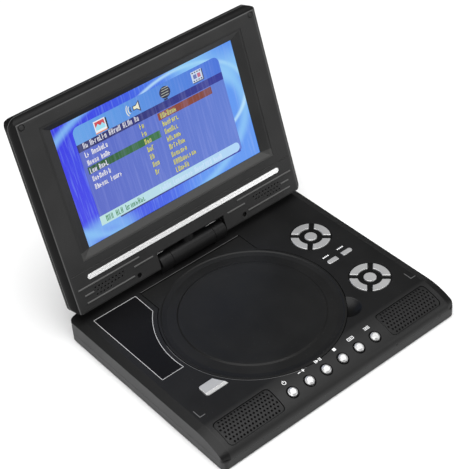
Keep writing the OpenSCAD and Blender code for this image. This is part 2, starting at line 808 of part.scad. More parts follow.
// The notch in the lid's lower edge that the hinge barrel turns in
module hinge_notch(d) {
    block([-cutout_half - d, 0, -lid_t - 1], [cutout_half + d, cutout_top + d, 1]);
}

module lid_half(z0, z1) {
    difference() {
        lid_form(0);
        block([-half_lid - 1, 0, -lid_t - 2], [half_lid + 1, lid_top + 1, z0]);
        block([-half_lid - 1, 0, z1], [half_lid + 1, lid_top + 1, 2]);
        difference() {
            lid_form(lid_wall);
            hinge_notch(lid_wall);
        }
        hinge_notch(0);
        translate([0, 0, -swivel_in]) rotate([-90, 0, 0]) cylinder(r = 5.3, h = cutout_top + 3);
    }
}

tab_screw = [47.6, 11.4];
lid_screw_spots = [[-tab_screw[0], tab_screw[1]], tab_screw];

module lid_back() color("#1d1d1f")
    on_lid() {
        lid_half(-lid_t - 1, lid_split - 0.15);
        for (p = lid_screw_spots) translate([p[0], p[1], 0.5 - lid_t]) difference() {
            cylinder(r = 2.6, h = 5.6);
            translate([0, 0, 1]) cylinder(r = 1, h = 5);
        }
    }

module lid_bezel() color("#343436") {
    on_lid() for (side = [-1, 1]) band_ribs(side);
    on_lid() difference() {
        union() {
            lid_half(lid_split + 0.15, 1);
            intersection() {
                for (p = lid_screw_spots) translate([p[0], p[1], lid_split + 0.2]) cylinder(r = 3, h = 6);
                lid_form(0);
            }
        }
        slab(-3, 1) translate([-frame_half, frame_low]) square([2 * frame_half, frame_top - frame_low]);
        for (p = lid_screw_spots) {
            translate([p[0], p[1], -lid_t]) cylinder(r = 1.2, h = lid_t + 1);
            translate([p[0], p[1], -2]) cylinder(r = 1.9, h = 3);
        }
        slab(-1.2, 1) strip_outline(0.15);
        // seam across the face above the trim strip
        block([lid_edge_r - half_lid, 35, -0.4], [half_lid - lid_edge_r, 35.5, 1]);
        for (side = [-1, 1]) {
            band_holes(side);
            translate([side * bumper_spot[0], bumper_spot[1], -1.3]) cylinder(r = 2.3, h = 3);
        }
    }
}

// Raised ribs on the lower band, to one side of the hinge
module band_ribs(side) {
    ribs = [[44, 95, 24.2], [33.6, 50, 19.2], [84, 91.5, 18.4], [51.4, 91.3, 12.8]];
    for (rib = ribs)
        translate([side > 0 ? rib[0] : -rib[1], rib[2], -0.3]) rotate([0, 90, 0])
            cylinder(r = 0.8, h = rib[1] - rib[0]);
}

// Small blind holes in the lower band, to one side of the hinge
module band_holes(side) {
    rows = [[9, 20.4, 0], [8, 17.8, 1.4], [5, 15.2, 0]];
    for (r = rows, k = [0:r[0] - 1])
        translate([side * (82 - 2.9 * k - r[2]), r[1], -1]) cylinder(r = 0.7, h = 2);
}

module strip_outline(grow) {
    round_rect([-strip_half - grow, strip_y - strip_w / 2 - grow],
        [strip_half + grow, strip_y + strip_w / 2 + grow], strip_w / 2 + grow - 0.01);
}

module trim_strip() color("#dcdcde")
    on_lid() difference() {
        slab(-1.1, 0.5) strip_outline(0);
        block([-strip_half, strip_y - 0.2, 0.2], [strip_half, strip_y + 0.2, 1]);
    }

module screen_frame() color("#4a4a4c")
    on_lid() {
        w = screen_w / 2;
        y1 = screen_low + screen_h;
        fw = frame_half - 0.1;
        f0 = frame_low + 0.1;
        f1 = frame_top - 0.1;
        difference() {
            slab(panel_z + 0.05, -0.3) translate([-fw, f0]) square([2 * fw, f1 - f0]);
            // the opening narrows towards the screen on all four sides
            intersection() {
                through_y(0, 200) polygon([[-fw + 0.8, 0], [-w, panel_z + 0.6], [-w, -4],
                    [w, -4], [w, panel_z + 0.6], [fw - 0.8, 0]]);
                through_x(half_w) polygon([[f0 + 0.8, 0], [screen_low, panel_z + 0.6], [screen_low, -4],
                    [y1, -4], [y1, panel_z + 0.6], [f1 - 0.8, 0]]);
            }
        }
    }

module lcd_panel() color("#3a4fd8")
    on_lid() block([-screen_w / 2 - 3, screen_low - 3, panel_z - 2.2],
        [screen_w / 2 + 3, screen_low + screen_h + 3, panel_z]);

module backlight() color("white")
    on_lid() block([-screen_w / 2 - 3, screen_low - 3, panel_z - 5],
        [screen_w / 2 + 3, screen_low + screen_h + 3, panel_z - 2.3]);

module screen_board() color("#1d5a36")
    on_lid() {
        block([-60, 60, -10.2], [60, 110, -9]);
        block([-40, 72, -10.9], [-22, 84, -10.2]);
        block([10, 80, -10.9], [22, 92, -10.2]);
    }

// Two small rubber bumpers in the upper corners of the lid's face
module lid_bumpers() color("#202020")
    on_lid() for (side = [-1, 1])
        translate([side * bumper_spot[0], bumper_spot[1], -1.3]) {
            cylinder(r = 1.9, h = 1.1);
            translate([0, 0, 1]) cylinder(r1 = 1.9, r2 = 1.2, h = 0.5);
        }

module lid_screws() color("#303030")
    on_lid() for (p = lid_screw_spots) {
        translate([p[0], p[1], -1.98]) cylinder(r = 1.8, h = 0.9);
        translate([p[0], p[1], -9]) cylinder(r = 0.95, h = 7.1);
    }

bottom_case();
top_case();
battery_pack();
battery_cover();
disc_tray();
door_pins();
gloss_plate();
speakers();
speaker_grilles();
drive_chassis();
chassis_dampers();
spindle_motor();
guide_rods();
sled_motor();
main_board();
key_boards();
dc_jack();
audio_jacks();
usb_socket();
rubber_feet();
case_screws();
hinge_leaves();
hinge_shafts();
disc_door();
open_button();
spindle_hub();
optical_pickup();
pickup_lens();
lead_screw();
power_switch();
hinge_barrel();
swivel_post();
swivel_plate();
lid_back();
lid_bezel();
screen_frame();
lcd_panel();
backlight();
screen_board();
trim_strip();
lid_screws();
lid_bumpers();
front_key(1);  // front_key_1
front_key(2);  // front_key_2
front_key(3);  // front_key_3
front_key(4);  // front_key_4
front_key(5);  // front_key_5
front_key(6);  // front_key_6
pill_key(-1);  // pill_key_1
pill_key(1);  // pill_key_2
pad_key(upper_pad_y, 0);  // upper_pad_right
pad_key(upper_pad_y, 90);  // upper_pad_back
pad_key(upper_pad_y, 180);  // upper_pad_left
pad_key(upper_pad_y, 270);  // upper_pad_front
pad_centre(upper_pad_y);  // upper_pad_centre
pad_key(lower_pad_y, 0);  // lower_pad_right
pad_key(lower_pad_y, 90);  // lower_pad_back
pad_key(lower_pad_y, 180);  // lower_pad_left
pad_key(lower_pad_y, 270);  // lower_pad_front
pad_centre(lower_pad_y);  // lower_pad_centre
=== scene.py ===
import bpy, bmesh, json, math, random
from mathutils import Matrix, Vector


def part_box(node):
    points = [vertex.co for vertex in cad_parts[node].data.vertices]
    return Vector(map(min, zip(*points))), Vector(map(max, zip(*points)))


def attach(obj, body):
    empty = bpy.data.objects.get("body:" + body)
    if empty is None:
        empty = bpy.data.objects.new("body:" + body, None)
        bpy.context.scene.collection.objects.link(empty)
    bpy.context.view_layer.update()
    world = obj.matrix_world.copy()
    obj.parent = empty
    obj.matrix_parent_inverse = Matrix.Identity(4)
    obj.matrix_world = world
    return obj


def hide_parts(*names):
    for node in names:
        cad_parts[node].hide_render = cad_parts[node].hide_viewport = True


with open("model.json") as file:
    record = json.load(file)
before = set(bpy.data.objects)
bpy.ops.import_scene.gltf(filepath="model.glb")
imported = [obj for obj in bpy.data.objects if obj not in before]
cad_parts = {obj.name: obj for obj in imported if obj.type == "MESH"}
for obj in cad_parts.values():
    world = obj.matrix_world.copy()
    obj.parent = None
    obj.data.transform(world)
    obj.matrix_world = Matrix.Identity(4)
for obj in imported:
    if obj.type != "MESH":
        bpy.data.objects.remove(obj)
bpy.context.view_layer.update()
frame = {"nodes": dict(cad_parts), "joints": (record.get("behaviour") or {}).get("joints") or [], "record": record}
nodes = frame["nodes"]
mm = 0.001


# places taken from the frame

def jointNamed(name):
    return next(j for j in frame["joints"] if j["name"] == name)


lidUp = Vector(jointNamed("screen_swivel")["axis"]).normalized()
lidOut = Vector((1, 0, 0)).cross(lidUp)
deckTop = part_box("gloss_plate")[1][2] + 0.1 * mm


def reach(node, direction):
    # lowest and highest place of a node's corners along a direction
    along = [v.co.dot(direction) for v in nodes[node].data.vertices]
    return min(along), max(along)


def lidPoint(x, up, out):
    return Vector((x, 0, 0)) + lidUp * up + lidOut * out


def addPiece(name, data):
    piece = bpy.data.objects.new(name, data)
    bpy.context.scene.collection.objects.link(piece)
    return piece


# shader helpers

def addNode(tree, kind, **settings):
    node = tree.nodes.new(kind)
    for key, value in settings.items():
        setattr(node, key, value)
    return node


def wire(tree, source, target):
    tree.links.new(source, target)


def mathNode(tree, operation, a, b=None):
    node = addNode(tree, "ShaderNodeMath", operation=operation)
    for slot, value in enumerate((a, b)):
        if value is None:
            continue
        if isinstance(value, (int, float)):
            node.inputs[slot].default_value = value
        else:
            wire(tree, value, node.inputs[slot])
    return node.outputs[0]


def mixColour(tree, factor, a, b):
    node = addNode(tree, "ShaderNodeMix", data_type="RGBA")
    for slot, value in ((0, factor), (6, a), (7, b)):
        if isinstance(value, (int, float)):
            node.inputs[slot].default_value = value
        elif isinstance(value, tuple):
            node.inputs[slot].default_value = (*value, 1)
        else:
            wire(tree, value, node.inputs[slot])
    return node.outputs[2]


def socketsOf(tree, ins, outs):
    for name, kind, value in ins:
        socket = tree.interface.new_socket(name=name, in_out="INPUT", socket_type=kind)
        socket.default_value = value
    for name, kind in outs:
        tree.interface.new_socket(name=name, in_out="OUTPUT", socket_type=kind)
    return addNode(tree, "NodeGroupInput"), addNode(tree, "NodeGroupOutput")


def mouldedGrainGroup():
    # fine spark-eroded grain with a slower unevenness of tone and gloss
    tree = bpy.data.node_groups.new("mouldedGrain", "ShaderNodeTree")
    ins, outs = socketsOf(
        tree,
        [("Grain Scale", "NodeSocketFloat", 4000.0), ("Tone Low", "NodeSocketFloat", 0.9),
         ("Tone High", "NodeSocketFloat", 1.1), ("Rough Low", "NodeSocketFloat", 0.4),
         ("Rough High", "NodeSocketFloat", 0.5)],
        [("Height", "NodeSocketFloat"), ("Tone", "NodeSocketFloat"), ("Rough", "NodeSocketFloat")])
    place = addNode(tree, "ShaderNodeTexCoord").outputs["Object"]
    fine = addNode(tree, "ShaderNodeTexNoise")
    fine.inputs["Detail"].default_value = 1.0
    wire(tree, place, fine.inputs["Vector"])
    wire(tree, ins.outputs["Grain Scale"], fine.inputs["Scale"])
    slow = addNode(tree, "ShaderNodeTexNoise")
    slow.inputs["Scale"].default_value = 38.0
    slow.inputs["Detail"].default_value = 4.0
    wire(tree, place, slow.inputs["Vector"])
    wire(tree, fine.outputs["Fac"], outs.inputs["Height"])
    for name in ("Tone", "Rough"):
        spread = addNode(tree, "ShaderNodeMapRange")
        spread.inputs["From Min"].default_value = 0.3
        spread.inputs["From Max"].default_value = 0.7
        wire(tree, slow.outputs["Fac"], spread.inputs["Value"])
        wire(tree, ins.outputs[name + " Low"], spread.inputs["To Min"])
        wire(tree, ins.outputs[name + " High"], spread.inputs["To Max"])
        wire(tree, spread.outputs["Result"], outs.inputs[name])
    return tree


def handlingMarksGroup():
    # faint specks of dust and long soft wipes
    tree = bpy.data.node_groups.new("handlingMarks", "ShaderNodeTree")
    ins, outs = socketsOf(tree, [("Amount", "NodeSocketFloat", 0.5)],
                          [("Dust", "NodeSocketFloat"), ("Wipe", "NodeSocketFloat")])
    place = addNode(tree, "ShaderNodeTexCoord").outputs["Object"]
    speck = addNode(tree, "ShaderNodeTexVoronoi")
    speck.inputs["Scale"].default_value = 260.0
    wire(tree, place, speck.inputs["Vector"])
    near = mathNode(tree, "LESS_THAN", speck.outputs["Distance"], 0.045)
    wire(tree, mathNode(tree, "MULTIPLY", near, ins.outputs["Amount"]), outs.inputs["Dust"])
    turned = addNode(tree, "ShaderNodeMapping")
    turned.inputs["Rotation"].default_value = (0.4, 0.3, 0.7)
    turned.inputs["Scale"].default_value = (14.0, 90.0, 60.0)
    wire(tree, place, turned.inputs["Vector"])
    wipe = addNode(tree, "ShaderNodeTexNoise")
    wipe.inputs["Scale"].default_value = 1.0
    wipe.inputs["Detail"].default_value = 5.0
    wire(tree, turned.outputs["Vector"], wipe.inputs["Vector"])
    wire(tree, mathNode(tree, "MULTIPLY", wipe.outputs["Fac"], ins.outputs["Amount"]), outs.inputs["Wipe"])
    return tree


def levelBandGroup():
    # a mask that rises between two levels along a direction
    tree = bpy.data.node_groups.new("levelBand", "ShaderNodeTree")
    ins, outs = socketsOf(
        tree, [("Direction", "NodeSocketVector", (0, 0, 1)), ("Low", "NodeSocketFloat", 0.0),
               ("High", "NodeSocketFloat", 1.0)], [("Mask", "NodeSocketFloat")])
    place = addNode(tree, "ShaderNodeTexCoord").outputs["Object"]
    along = addNode(tree, "ShaderNodeVectorMath", operation="DOT_PRODUCT")
    wire(tree, place, along.inputs[0])
    wire(tree, ins.outputs["Direction"], along.inputs[1])
    rise = addNode(tree, "ShaderNodeMapRange", interpolation_type="SMOOTHSTEP")
    wire(tree, along.outputs["Value"], rise.inputs["Value"])
    wire(tree, ins.outputs["Low"], rise.inputs["From Min"])
    wire(tree, ins.outputs["High"], rise.inputs["From Max"])
    wire(tree, rise.outputs["Result"], outs.inputs["Mask"])
    return tree


levelBand = levelBandGroup()
mouldedGrain = mouldedGrainGroup()
handlingMarks = handlingMarksGroup()


def startMaterial(name):
    material = bpy.data.materials.new(name)
    material.use_nodes = True
    tree = material.node_tree
    shader = tree.nodes["Principled BSDF"]
    return material, tree, shader


def grainNode(tree, finish):
    grain = addNode(tree, "ShaderNodeGroup", node_tree=mouldedGrain)
    grain.inputs["Grain Scale"].default_value = finish.get("grainScale", 4200.0)
    spread = finish.get("toneSpread", 0.12)
    grain.inputs["Tone Low"].default_value = 1 - spread
    grain.inputs["Tone High"].default_value = 1 + spread
    grain.inputs["Rough Low"].default_value = finish["rough"][0]
    grain.inputs["Rough High"].default_value = finish["rough"][1]
    return grain


def softEdges(tree, shader, grain, finish):
    # the moulded edge catches light as a small round, and the grain sits on top of it
    edge = addNode(tree, "ShaderNodeBevel", samples=4)
    edge.inputs["Radius"].default_value = finish.get("edge", 0.3) * mm
    bump = addNode(tree, "ShaderNodeBump")
    bump.inputs["Strength"].default_value = finish.get("bump", 0.25)
    bump.inputs["Distance"].default_value = 0.00003
    wire(tree, grain.outputs["Height"], bump.inputs["Height"])
    wire(tree, edge.outputs["Normal"], bump.inputs["Normal"])
    wire(tree, bump.outputs["Normal"], shader.inputs["Normal"])


def tinted(tree, colour, grain, marks, dust):
    # the base colour, uneven by the grain's tone, with pale dust over it
    tone = addNode(tree, "ShaderNodeMix", data_type="RGBA", blend_type="MULTIPLY")
    tone.inputs[0].default_value = 1.0
    tone.inputs[6].default_value = (*colour, 1)
    wire(tree, grain.outputs["Tone"], tone.inputs[7])
    return mixColour(tree, marks.outputs["Dust"], tone.outputs[2], dust)


def levelMask(tree, direction, low, high):
    band = addNode(tree, "ShaderNodeGroup", node_tree=levelBand)
    band.inputs["Direction"].default_value = direction
    band.inputs["Low"].default_value = low
    band.inputs["High"].default_value = high
    return band.outputs["Mask"]


def plasticMaterial(name, finish):
    material, tree, shader = startMaterial(name)
    grain = grainNode(tree, finish)
    marks = addNode(tree, "ShaderNodeGroup", node_tree=handlingMarks)
    marks.inputs["Amount"].default_value = finish.get("marks", 0.15)
    colour = tinted(tree, finish["colour"], grain, marks, (0.25, 0.25, 0.25))
    for direction, low, high, other in finish.get("levels", ()):
        colour = mixColour(tree, levelMask(tree, direction, low, high), other, colour)
    wire(tree, colour, shader.inputs["Base Color"])
    rough = mathNode(tree, "ADD", grain.outputs["Rough"],
                     mathNode(tree, "MULTIPLY", marks.outputs["Wipe"], 0.25))
    wire(tree, rough, shader.inputs["Roughness"])
    softEdges(tree, shader, grain, finish)
    shader.inputs["Specular IOR Level"].default_value = finish.get("specular", 0.5)
    shader.inputs["Coat Weight"].default_value = finish.get("coat", 0.0)
    shader.inputs["Coat Roughness"].default_value = 0.06
    return material


def metalMaterial(name, finish):
    material, tree, shader = startMaterial(name)
    grain = grainNode(tree, finish)
    marks = addNode(tree, "ShaderNodeGroup", node_tree=handlingMarks)
    marks.inputs["Amount"].default_value = finish.get("marks", 0.1)
    wire(tree, tinted(tree, finish["colour"], grain, marks, (0.2, 0.19, 0.18)), shader.inputs["Base Color"])
    rough = mathNode(tree, "ADD", grain.outputs["Rough"],
                     mathNode(tree, "MULTIPLY", marks.outputs["Wipe"], 0.3))
    wire(tree, rough, shader.inputs["Roughness"])
    shader.inputs["Metallic"].default_value = finish.get("metallic", 1.0)
    softEdges(tree, shader, grain, finish)
    return material


def grey(value):
    return (value, value, value)


def levels(*bands):
    # each band's colour shows below its low place along its direction, in millimetres from a start
    return tuple((tuple(direction), start + low * mm, start + high * mm, colour)
                 for direction, start, low, high, colour in bands)


lidFace = reach("screen_frame", lidOut)[1] + 0.3 * mm
screenEdge = reach("lcd_panel", lidUp)[0] + 3 * mm
rightward, leftward, backward, forward, upward = (1, 0, 0), (-1, 0, 0), (0, 1, 0), (0, -1, 0), (0, 0, 1)
# the case's sides lie as far from its middle on the right as on the left, and its front as its back
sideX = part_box("bottom_case")[0][0]
frontY = -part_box("bottom_case")[1][1]
finishes = {
    "base_plastic": dict(
        colour=(0.030, 0.030, 0.031), rough=(0.36, 0.44), edge=0.4, bump=0.35, specular=0.25,
        # painted shade: the front face of the lower case, at the very front, is darker
        levels=levels((backward, frontY, 0.3, 1.5, grey(0.009)))),
    "deck_plastic": dict(
        colour=(0.0060, 0.0060, 0.0061), rough=(0.36, 0.44), edge=0.35, bump=0.3, specular=0.18,
        # painted shade: near black below the deck's top, in the thumb notch, the key openings and the hinge
        # recess; painted light: the front slope lighter, as it faces the light
        levels=levels((upward, deckTop, -0.40, -0.30, grey(0.0018)), (backward, 0, -59, -55.5, grey(0.013)),
                      # painted shade: the side chamfers a little darker than the deck's top
                      (rightward, sideX, 5.6, 6.2, grey(0.0050)), (leftward, sideX, 5.6, 6.2, grey(0.0050)),
                      # painted light: the outer walls lighter than the deck, the left wall lightest, then the
                      # right wall, then the back wall
                      (rightward, sideX, 0.05, 0.25, (0.034, 0.034, 0.035)),
                      (leftward, sideX, 0.05, 0.25, (0.030, 0.030, 0.031)),
                      (forward, frontY, 0.05, 0.25, (0.026, 0.026, 0.027)))),
    "door_plastic": dict(
        colour=(0.0075, 0.0075, 0.0074), rough=(0.34, 0.42), edge=0.45, bump=0.25, specular=0.14),
    "inner_plastic": dict(colour=(0.009, 0.009, 0.010), rough=(0.45, 0.55), edge=0.25, specular=0.3),
    "gloss_black": dict(
        colour=(0.0035, 0.0035, 0.004), rough=(0.40, 0.46), edge=0.15, bump=0.02, marks=0.06, specular=0.07),
    "speaker_black": dict(colour=grey(0.010), rough=(0.7, 0.8)),
    "grille_plastic": dict(colour=grey(0.0095), rough=(0.38, 0.46), edge=0.15, bump=0.2, specular=0.2),
    "rubber": dict(colour=grey(0.008), rough=(0.72, 0.85), edge=0.3, bump=0.6, grainScale=2500.0),
    "circuit_board": dict(colour=(0.010, 0.085, 0.035), rough=(0.30, 0.40), edge=0.1),
    "socket_black": dict(colour=grey(0.008), rough=(0.28, 0.36), edge=0.2),
    "battery_wrap": dict(colour=(0.02, 0.04, 0.12), rough=(0.25, 0.35), edge=0.5),
    "back_plastic": dict(colour=grey(0.004), rough=(0.30, 0.38), edge=0.5, bump=0.08, specular=0.07),
    "bezel_plastic": dict(
        colour=grey(0.025), rough=(0.38, 0.46), edge=0.3, bump=0.3, specular=0.13,
        # painted highlight: a bright line along the edge of the face; painted shade: the bevel below it near
        # black, in the back shell's colour; painted highlight: a lighter rim past the bevel
        levels=levels((lidOut, lidFace, -0.30, -0.20, grey(0.075)),
                      (lidOut, lidFace, -0.55, -0.45, grey(0.004)), (lidOut, lidFace, -5.9, -5.7, grey(0.10)),
                      # painted highlight: lighter tops on the ribs that stand out from the face
                      (-lidOut, -lidFace, -0.3, -0.1, (0.085, 0.085, 0.084)))),
    "frame_plastic": dict(
        colour=grey(0.018), rough=(0.32, 0.40), edge=0.25, bump=0.25, specular=0.2,
        levels=levels((lidUp, screenEdge, -0.1, 0, (0.045, 0.045, 0.044)))),
    "white_film": dict(colour=(0.75, 0.75, 0.74), rough=(0.5, 0.6), edge=0.2),
    "lens_glass": dict(colour=(0.10, 0.16, 0.30), rough=(0.05, 0.08), edge=0.1, bump=0.0, coat=1.0),
    "print_white": dict(colour=grey(0.75), rough=(0.5, 0.6), edge=0.05, bump=0.05, marks=0.05),
    "print_silver": dict(colour=grey(0.42), rough=(0.3, 0.4), edge=0.05, bump=0.05, marks=0.05),
    # grey for the corner marks, which are print, and for painted highlight lines along the plate's rear edge and
    # the lower left edge of the door's opening
    "print_and_highlight_grey": dict(colour=grey(0.085), rough=(0.4, 0.5), edge=0.05, bump=0.05, marks=0.05),
    # near black painted shade in holes and recesses: inside the grille's holes, in the gaps round the front keys
    # and in the screws' cross recesses
    "painted_hole_shade": dict(colour=grey(0.0012), rough=(0.8, 0.9), edge=0.05, specular=0.05, marks=0.0),
}
metalFinishes = {
    "steel": dict(colour=(0.56, 0.57, 0.58), rough=(0.26, 0.36), edge=0.15, bump=0.1),
    "dark_steel": dict(colour=(0.030, 0.030, 0.030), rough=(0.30, 0.40), edge=0.15, bump=0.1),
    "sheet_steel": dict(colour=(0.50, 0.51, 0.53), rough=(0.34, 0.46), edge=0.15, bump=0.15),
    "silver_keys": dict(colour=(0.50, 0.50, 0.50), rough=(0.30, 0.38), edge=0.25, bump=0.12,
                        metallic=0.6, toneSpread=0.06),
    "bright_trim": dict(colour=(0.90, 0.90, 0.90), rough=(0.20, 0.26), edge=0.2, bump=0.03,
                        metallic=0.6, toneSpread=0.03),
}
materials = {name: plasticMaterial(name, finish) for name, finish in finishes.items()}
materials.update({name: metalMaterial(name, finish) for name, finish in metalFinishes.items()})
print("materials made")


# the lit picture

picture = dict(
    width=151.6 * mm, height=86.8 * mm, lift=0.05 * mm, step=0.04 * mm,
    letterPitch=1.75 * mm, letterHeight=2.5 * mm, capHeight=3.5 * mm, tallShare=0.22,
    letterWidth=(0.62, 0.8), stroke=0.36, shadeShift=0.28 * mm, firstRow=15.0, rowPitch=5.85,
    sheetColumns=24, sheetRows=14,
    white=(0.93, 0.93, 0.95), yellow=(0.72, 0.70, 0.07), green=(0.03, 0.22, 0.06),
)


def pictureMaterial():
    material, tree, shader = startMaterial("litPicture")
    uv = addNode(tree, "ShaderNodeUVMap", uv_map="screen")
    split = addNode(tree, "ShaderNodeSeparateXYZ")
    wire(tree, uv.outputs["UV"], split.inputs["Vector"])
    across, up = split.outputs["X"], split.outputs["Y"]
    bend = addNode(tree, "ShaderNodeTexNoise")
    bend.inputs["Scale"].default_value = 2.2
    bend.inputs["Detail"].default_value = 2.0
    wire(tree, uv.outputs["UV"], bend.inputs["Vector"])
    # deep blue at the left turns to sky blue at the right
    slope = mathNode(tree, "ADD", across, mathNode(tree, "MULTIPLY", bend.outputs["Fac"], 0.55))
    sweep = addNode(tree, "ShaderNodeValToRGB")
    stops = sweep.color_ramp.elements
    stops[0].position, stops[0].color = 0.34, (0.030, 0.035, 0.80, 1)
    stops[1].position, stops[1].color = 1.0, (0.10, 0.30, 0.88, 1)
    middle = stops.new(0.70)
    middle.color = (0.035, 0.10, 0.78, 1)
    wire(tree, slope, sweep.inputs["Fac"])
    # pale arcs curl round the upper right and the lower left
    glow = sweep.outputs["Color"]
    for centreX, centreY, radius, width, colour in (
            (0.42, 0.50, 0.57, 0.05, (0.25, 0.58, 0.93)), (0.66, 0.62, 0.36, 0.022, (0.55, 0.85, 0.97)),
            (0.98, 1.02, 0.22, 0.20, (0.28, 0.62, 0.94)), (0.10, 0.0, 0.10, 0.13, (0.22, 0.52, 0.90))):
        dx = mathNode(tree, "SUBTRACT", across, centreX)
        dy = mathNode(tree, "SUBTRACT", up, centreY)
        square = mathNode(tree, "ADD", mathNode(tree, "MULTIPLY", dx, dx), mathNode(tree, "MULTIPLY", dy, dy))
        away = mathNode(tree, "ABSOLUTE", mathNode(tree, "SUBTRACT", mathNode(tree, "SQRT", square), radius))
        band = addNode(tree, "ShaderNodeMapRange", interpolation_type="SMOOTHSTEP")
        band.inputs["From Min"].default_value = width
        band.inputs["From Max"].default_value = 0.0
        band.inputs["To Max"].default_value = 0.75
        wire(tree, away, band.inputs["Value"])
        glow = mixColour(tree, band.outputs["Result"], glow, colour)
    # fine upright streaks
    stretch = addNode(tree, "ShaderNodeMapping")
    stretch.inputs["Scale"].default_value = (95.0, 3.0, 1.0)
    wire(tree, uv.outputs["UV"], stretch.inputs["Vector"])
    streak = addNode(tree, "ShaderNodeTexNoise")
    streak.inputs["Scale"].default_value = 1.0
    streak.inputs["Detail"].default_value = 3.0
    wire(tree, stretch.outputs["Vector"], streak.inputs["Vector"])
    strength = addNode(tree, "ShaderNodeMapRange")
    strength.inputs["From Min"].default_value = 0.5
    strength.inputs["From Max"].default_value = 0.8
    strength.inputs["To Max"].default_value = 0.45
    wire(tree, streak.outputs["Fac"], strength.inputs["Value"])
    lit = mixColour(tree, strength.outputs["Result"], glow, (0.30, 0.48, 0.95))
    wire(tree, lit, shader.inputs["Emission Color"])
    shader.inputs["Emission Strength"].default_value = 0.95
    shader.inputs["Base Color"].default_value = (0.004, 0.004, 0.006, 1)
    shader.inputs["Roughness"].default_value = 0.22
    return material


def menuMaterial():
    material, tree, shader = startMaterial("menuShapes")
    own = addNode(tree, "ShaderNodeAttribute", attribute_name="menuColour")
    uv = addNode(tree, "ShaderNodeUVMap", uv_map="screen")
    stretch = addNode(tree, "ShaderNodeMapping")
    stretch.inputs["Scale"].default_value = (80.0, 2.0, 1.0)
    wire(tree, uv.outputs["UV"], stretch.inputs["Vector"])
    streak = addNode(tree, "ShaderNodeTexNoise")
    streak.inputs["Scale"].default_value = 1.0
    wire(tree, stretch.outputs["Vector"], streak.inputs["Vector"])
    faint = addNode(tree, "ShaderNodeMapRange")
    faint.inputs["From Min"].default_value = 0.45
    faint.inputs["From Max"].default_value = 0.8
    faint.inputs["To Max"].default_value = 0.16
    wire(tree, streak.outputs["Fac"], faint.inputs["Value"])
    lit = mixColour(tree, faint.outputs["Result"], own.outputs["Color"], (0.45, 0.5, 0.95))
    wire(tree, lit, shader.inputs["Emission Color"])
    shader.inputs["Emission Strength"].default_value = 0.95
    shader.inputs["Base Color"].default_value = (0.004, 0.004, 0.006, 1)
    shader.inputs["Roughness"].default_value = 0.25
    return material


class MenuSheet:
    # flat coloured shapes in layers over the screen, in metres from the screen's middle
    def __init__(self):
        self.mesh = bmesh.new()
        self.colour = self.mesh.loops.layers.float_color.new("menuColour")
        self.uv = self.mesh.loops.layers.uv.new("screen")

    def shape(self, outline, layer, colours):
        out = panelFace + picture["lift"] + layer * picture["step"]
        corners = [self.mesh.verts.new(lidPoint(x, screenMiddle + y, out)) for x, y in outline]
        face = self.mesh.faces.new(corners)
        plain = not isinstance(colours, list)
        for number, loop in enumerate(face.loops):
            x, y = outline[number]
            loop[self.colour] = (*(colours if plain else colours[number]), 1)
            loop[self.uv].uv = (x / picture["width"] + 0.5, y / picture["height"] + 0.5)
        face.normal_update()
        if face.normal.dot(lidOut) < 0:
            face.normal_flip()

    def flat(self, points, layer, colours):
        # a shape from points in millimetres
        self.shape([(x * mm, y * mm) for x, y in points], layer, colours)

    def box(self, x0, y0, x1, y1, layer, left, right=None):
        right = right or left
        self.flat([(x0, y0), (x1, y0), (x1, y1), (x0, y1)], layer, [left, right, right, left])

    def rounded(self, x0, y0, x1, y1, radius, corners, layer, left, right):
        # corners tells which of the four are round: low left, low right, high right, high left
        outline = []
        places = ((x0, y0, 180), (x1, y0, 270), (x1, y1, 0), (x0, y1, 90))
        for (x, y, start), isRound in zip(places, corners):
            if not isRound:
                outline.append((x * mm, y * mm))
                continue
            cx = x + (radius if x == x0 else -radius)
            cy = y + (radius if y == y0 else -radius)
            for k in range(7):
                a = math.radians(start + 15 * k)
                outline.append(((cx + radius * math.cos(a)) * mm, (cy + radius * math.sin(a)) * mm))
        mixed = [tuple(l + (r - l) * (x / mm - x0) / (x1 - x0) for l, r in zip(left, right))
                 for x, _ in outline]
        self.shape(outline, layer, mixed)

    def words(self, x, y, lengths, layer, colour, shade=None, size=1.0):
        # each letter is a plain block, tall at the start of a word and now and then after it
        pitch = picture["letterPitch"] * size
        place = x * mm
        for length in lengths:
            for number in range(length):
                tall = number == 0 or chance.random() < picture["tallShare"]
                height = (picture["capHeight"] if tall else picture["letterHeight"]) * size
                wide = pitch * chance.uniform(*picture["letterWidth"])
                self.letter(place, y * mm, wide, height, layer, colour, shade)
                place += pitch
            place += pitch * 0.9

    def letter(self, x, y, wide, height, layer, colour, shade):
        bar = wide * picture["stroke"]
        parts = [(0, 0, bar, height)]
        kind = chance.randrange(4)
        if kind != 0:
            parts.append((wide - bar, 0, wide, height * (0.75 if kind == 1 else 1.0)))
        if kind != 3:
            level = chance.choice((0.0, 0.42, 0.78)) * height
            parts.append((bar, level, wide, level + bar))
        d = picture["shadeShift"]
        for x0, y0, x1, y1 in parts:
            corners = [(x + x0, y + y0), (x + x1, y + y0), (x + x1, y + y1), (x + x0, y + y1)]
            if shade:
                self.shape([(cx + d, cy - d) for cx, cy in corners], layer - 0.5, shade)
            self.shape(corners, layer, colour)

    def finish(self, name):
        mesh = bpy.data.meshes.new(name)
        self.mesh.to_mesh(mesh)
        self.mesh.free()
        mesh.materials.append(menuMaterial())
        return addPiece(name, mesh)


def ringPoints(cx, cy, rx, ry, count):
    return [(cx + rx * math.cos(math.tau * k / count), cy + ry * math.sin(math.tau * k / count))
            for k in range(count)]


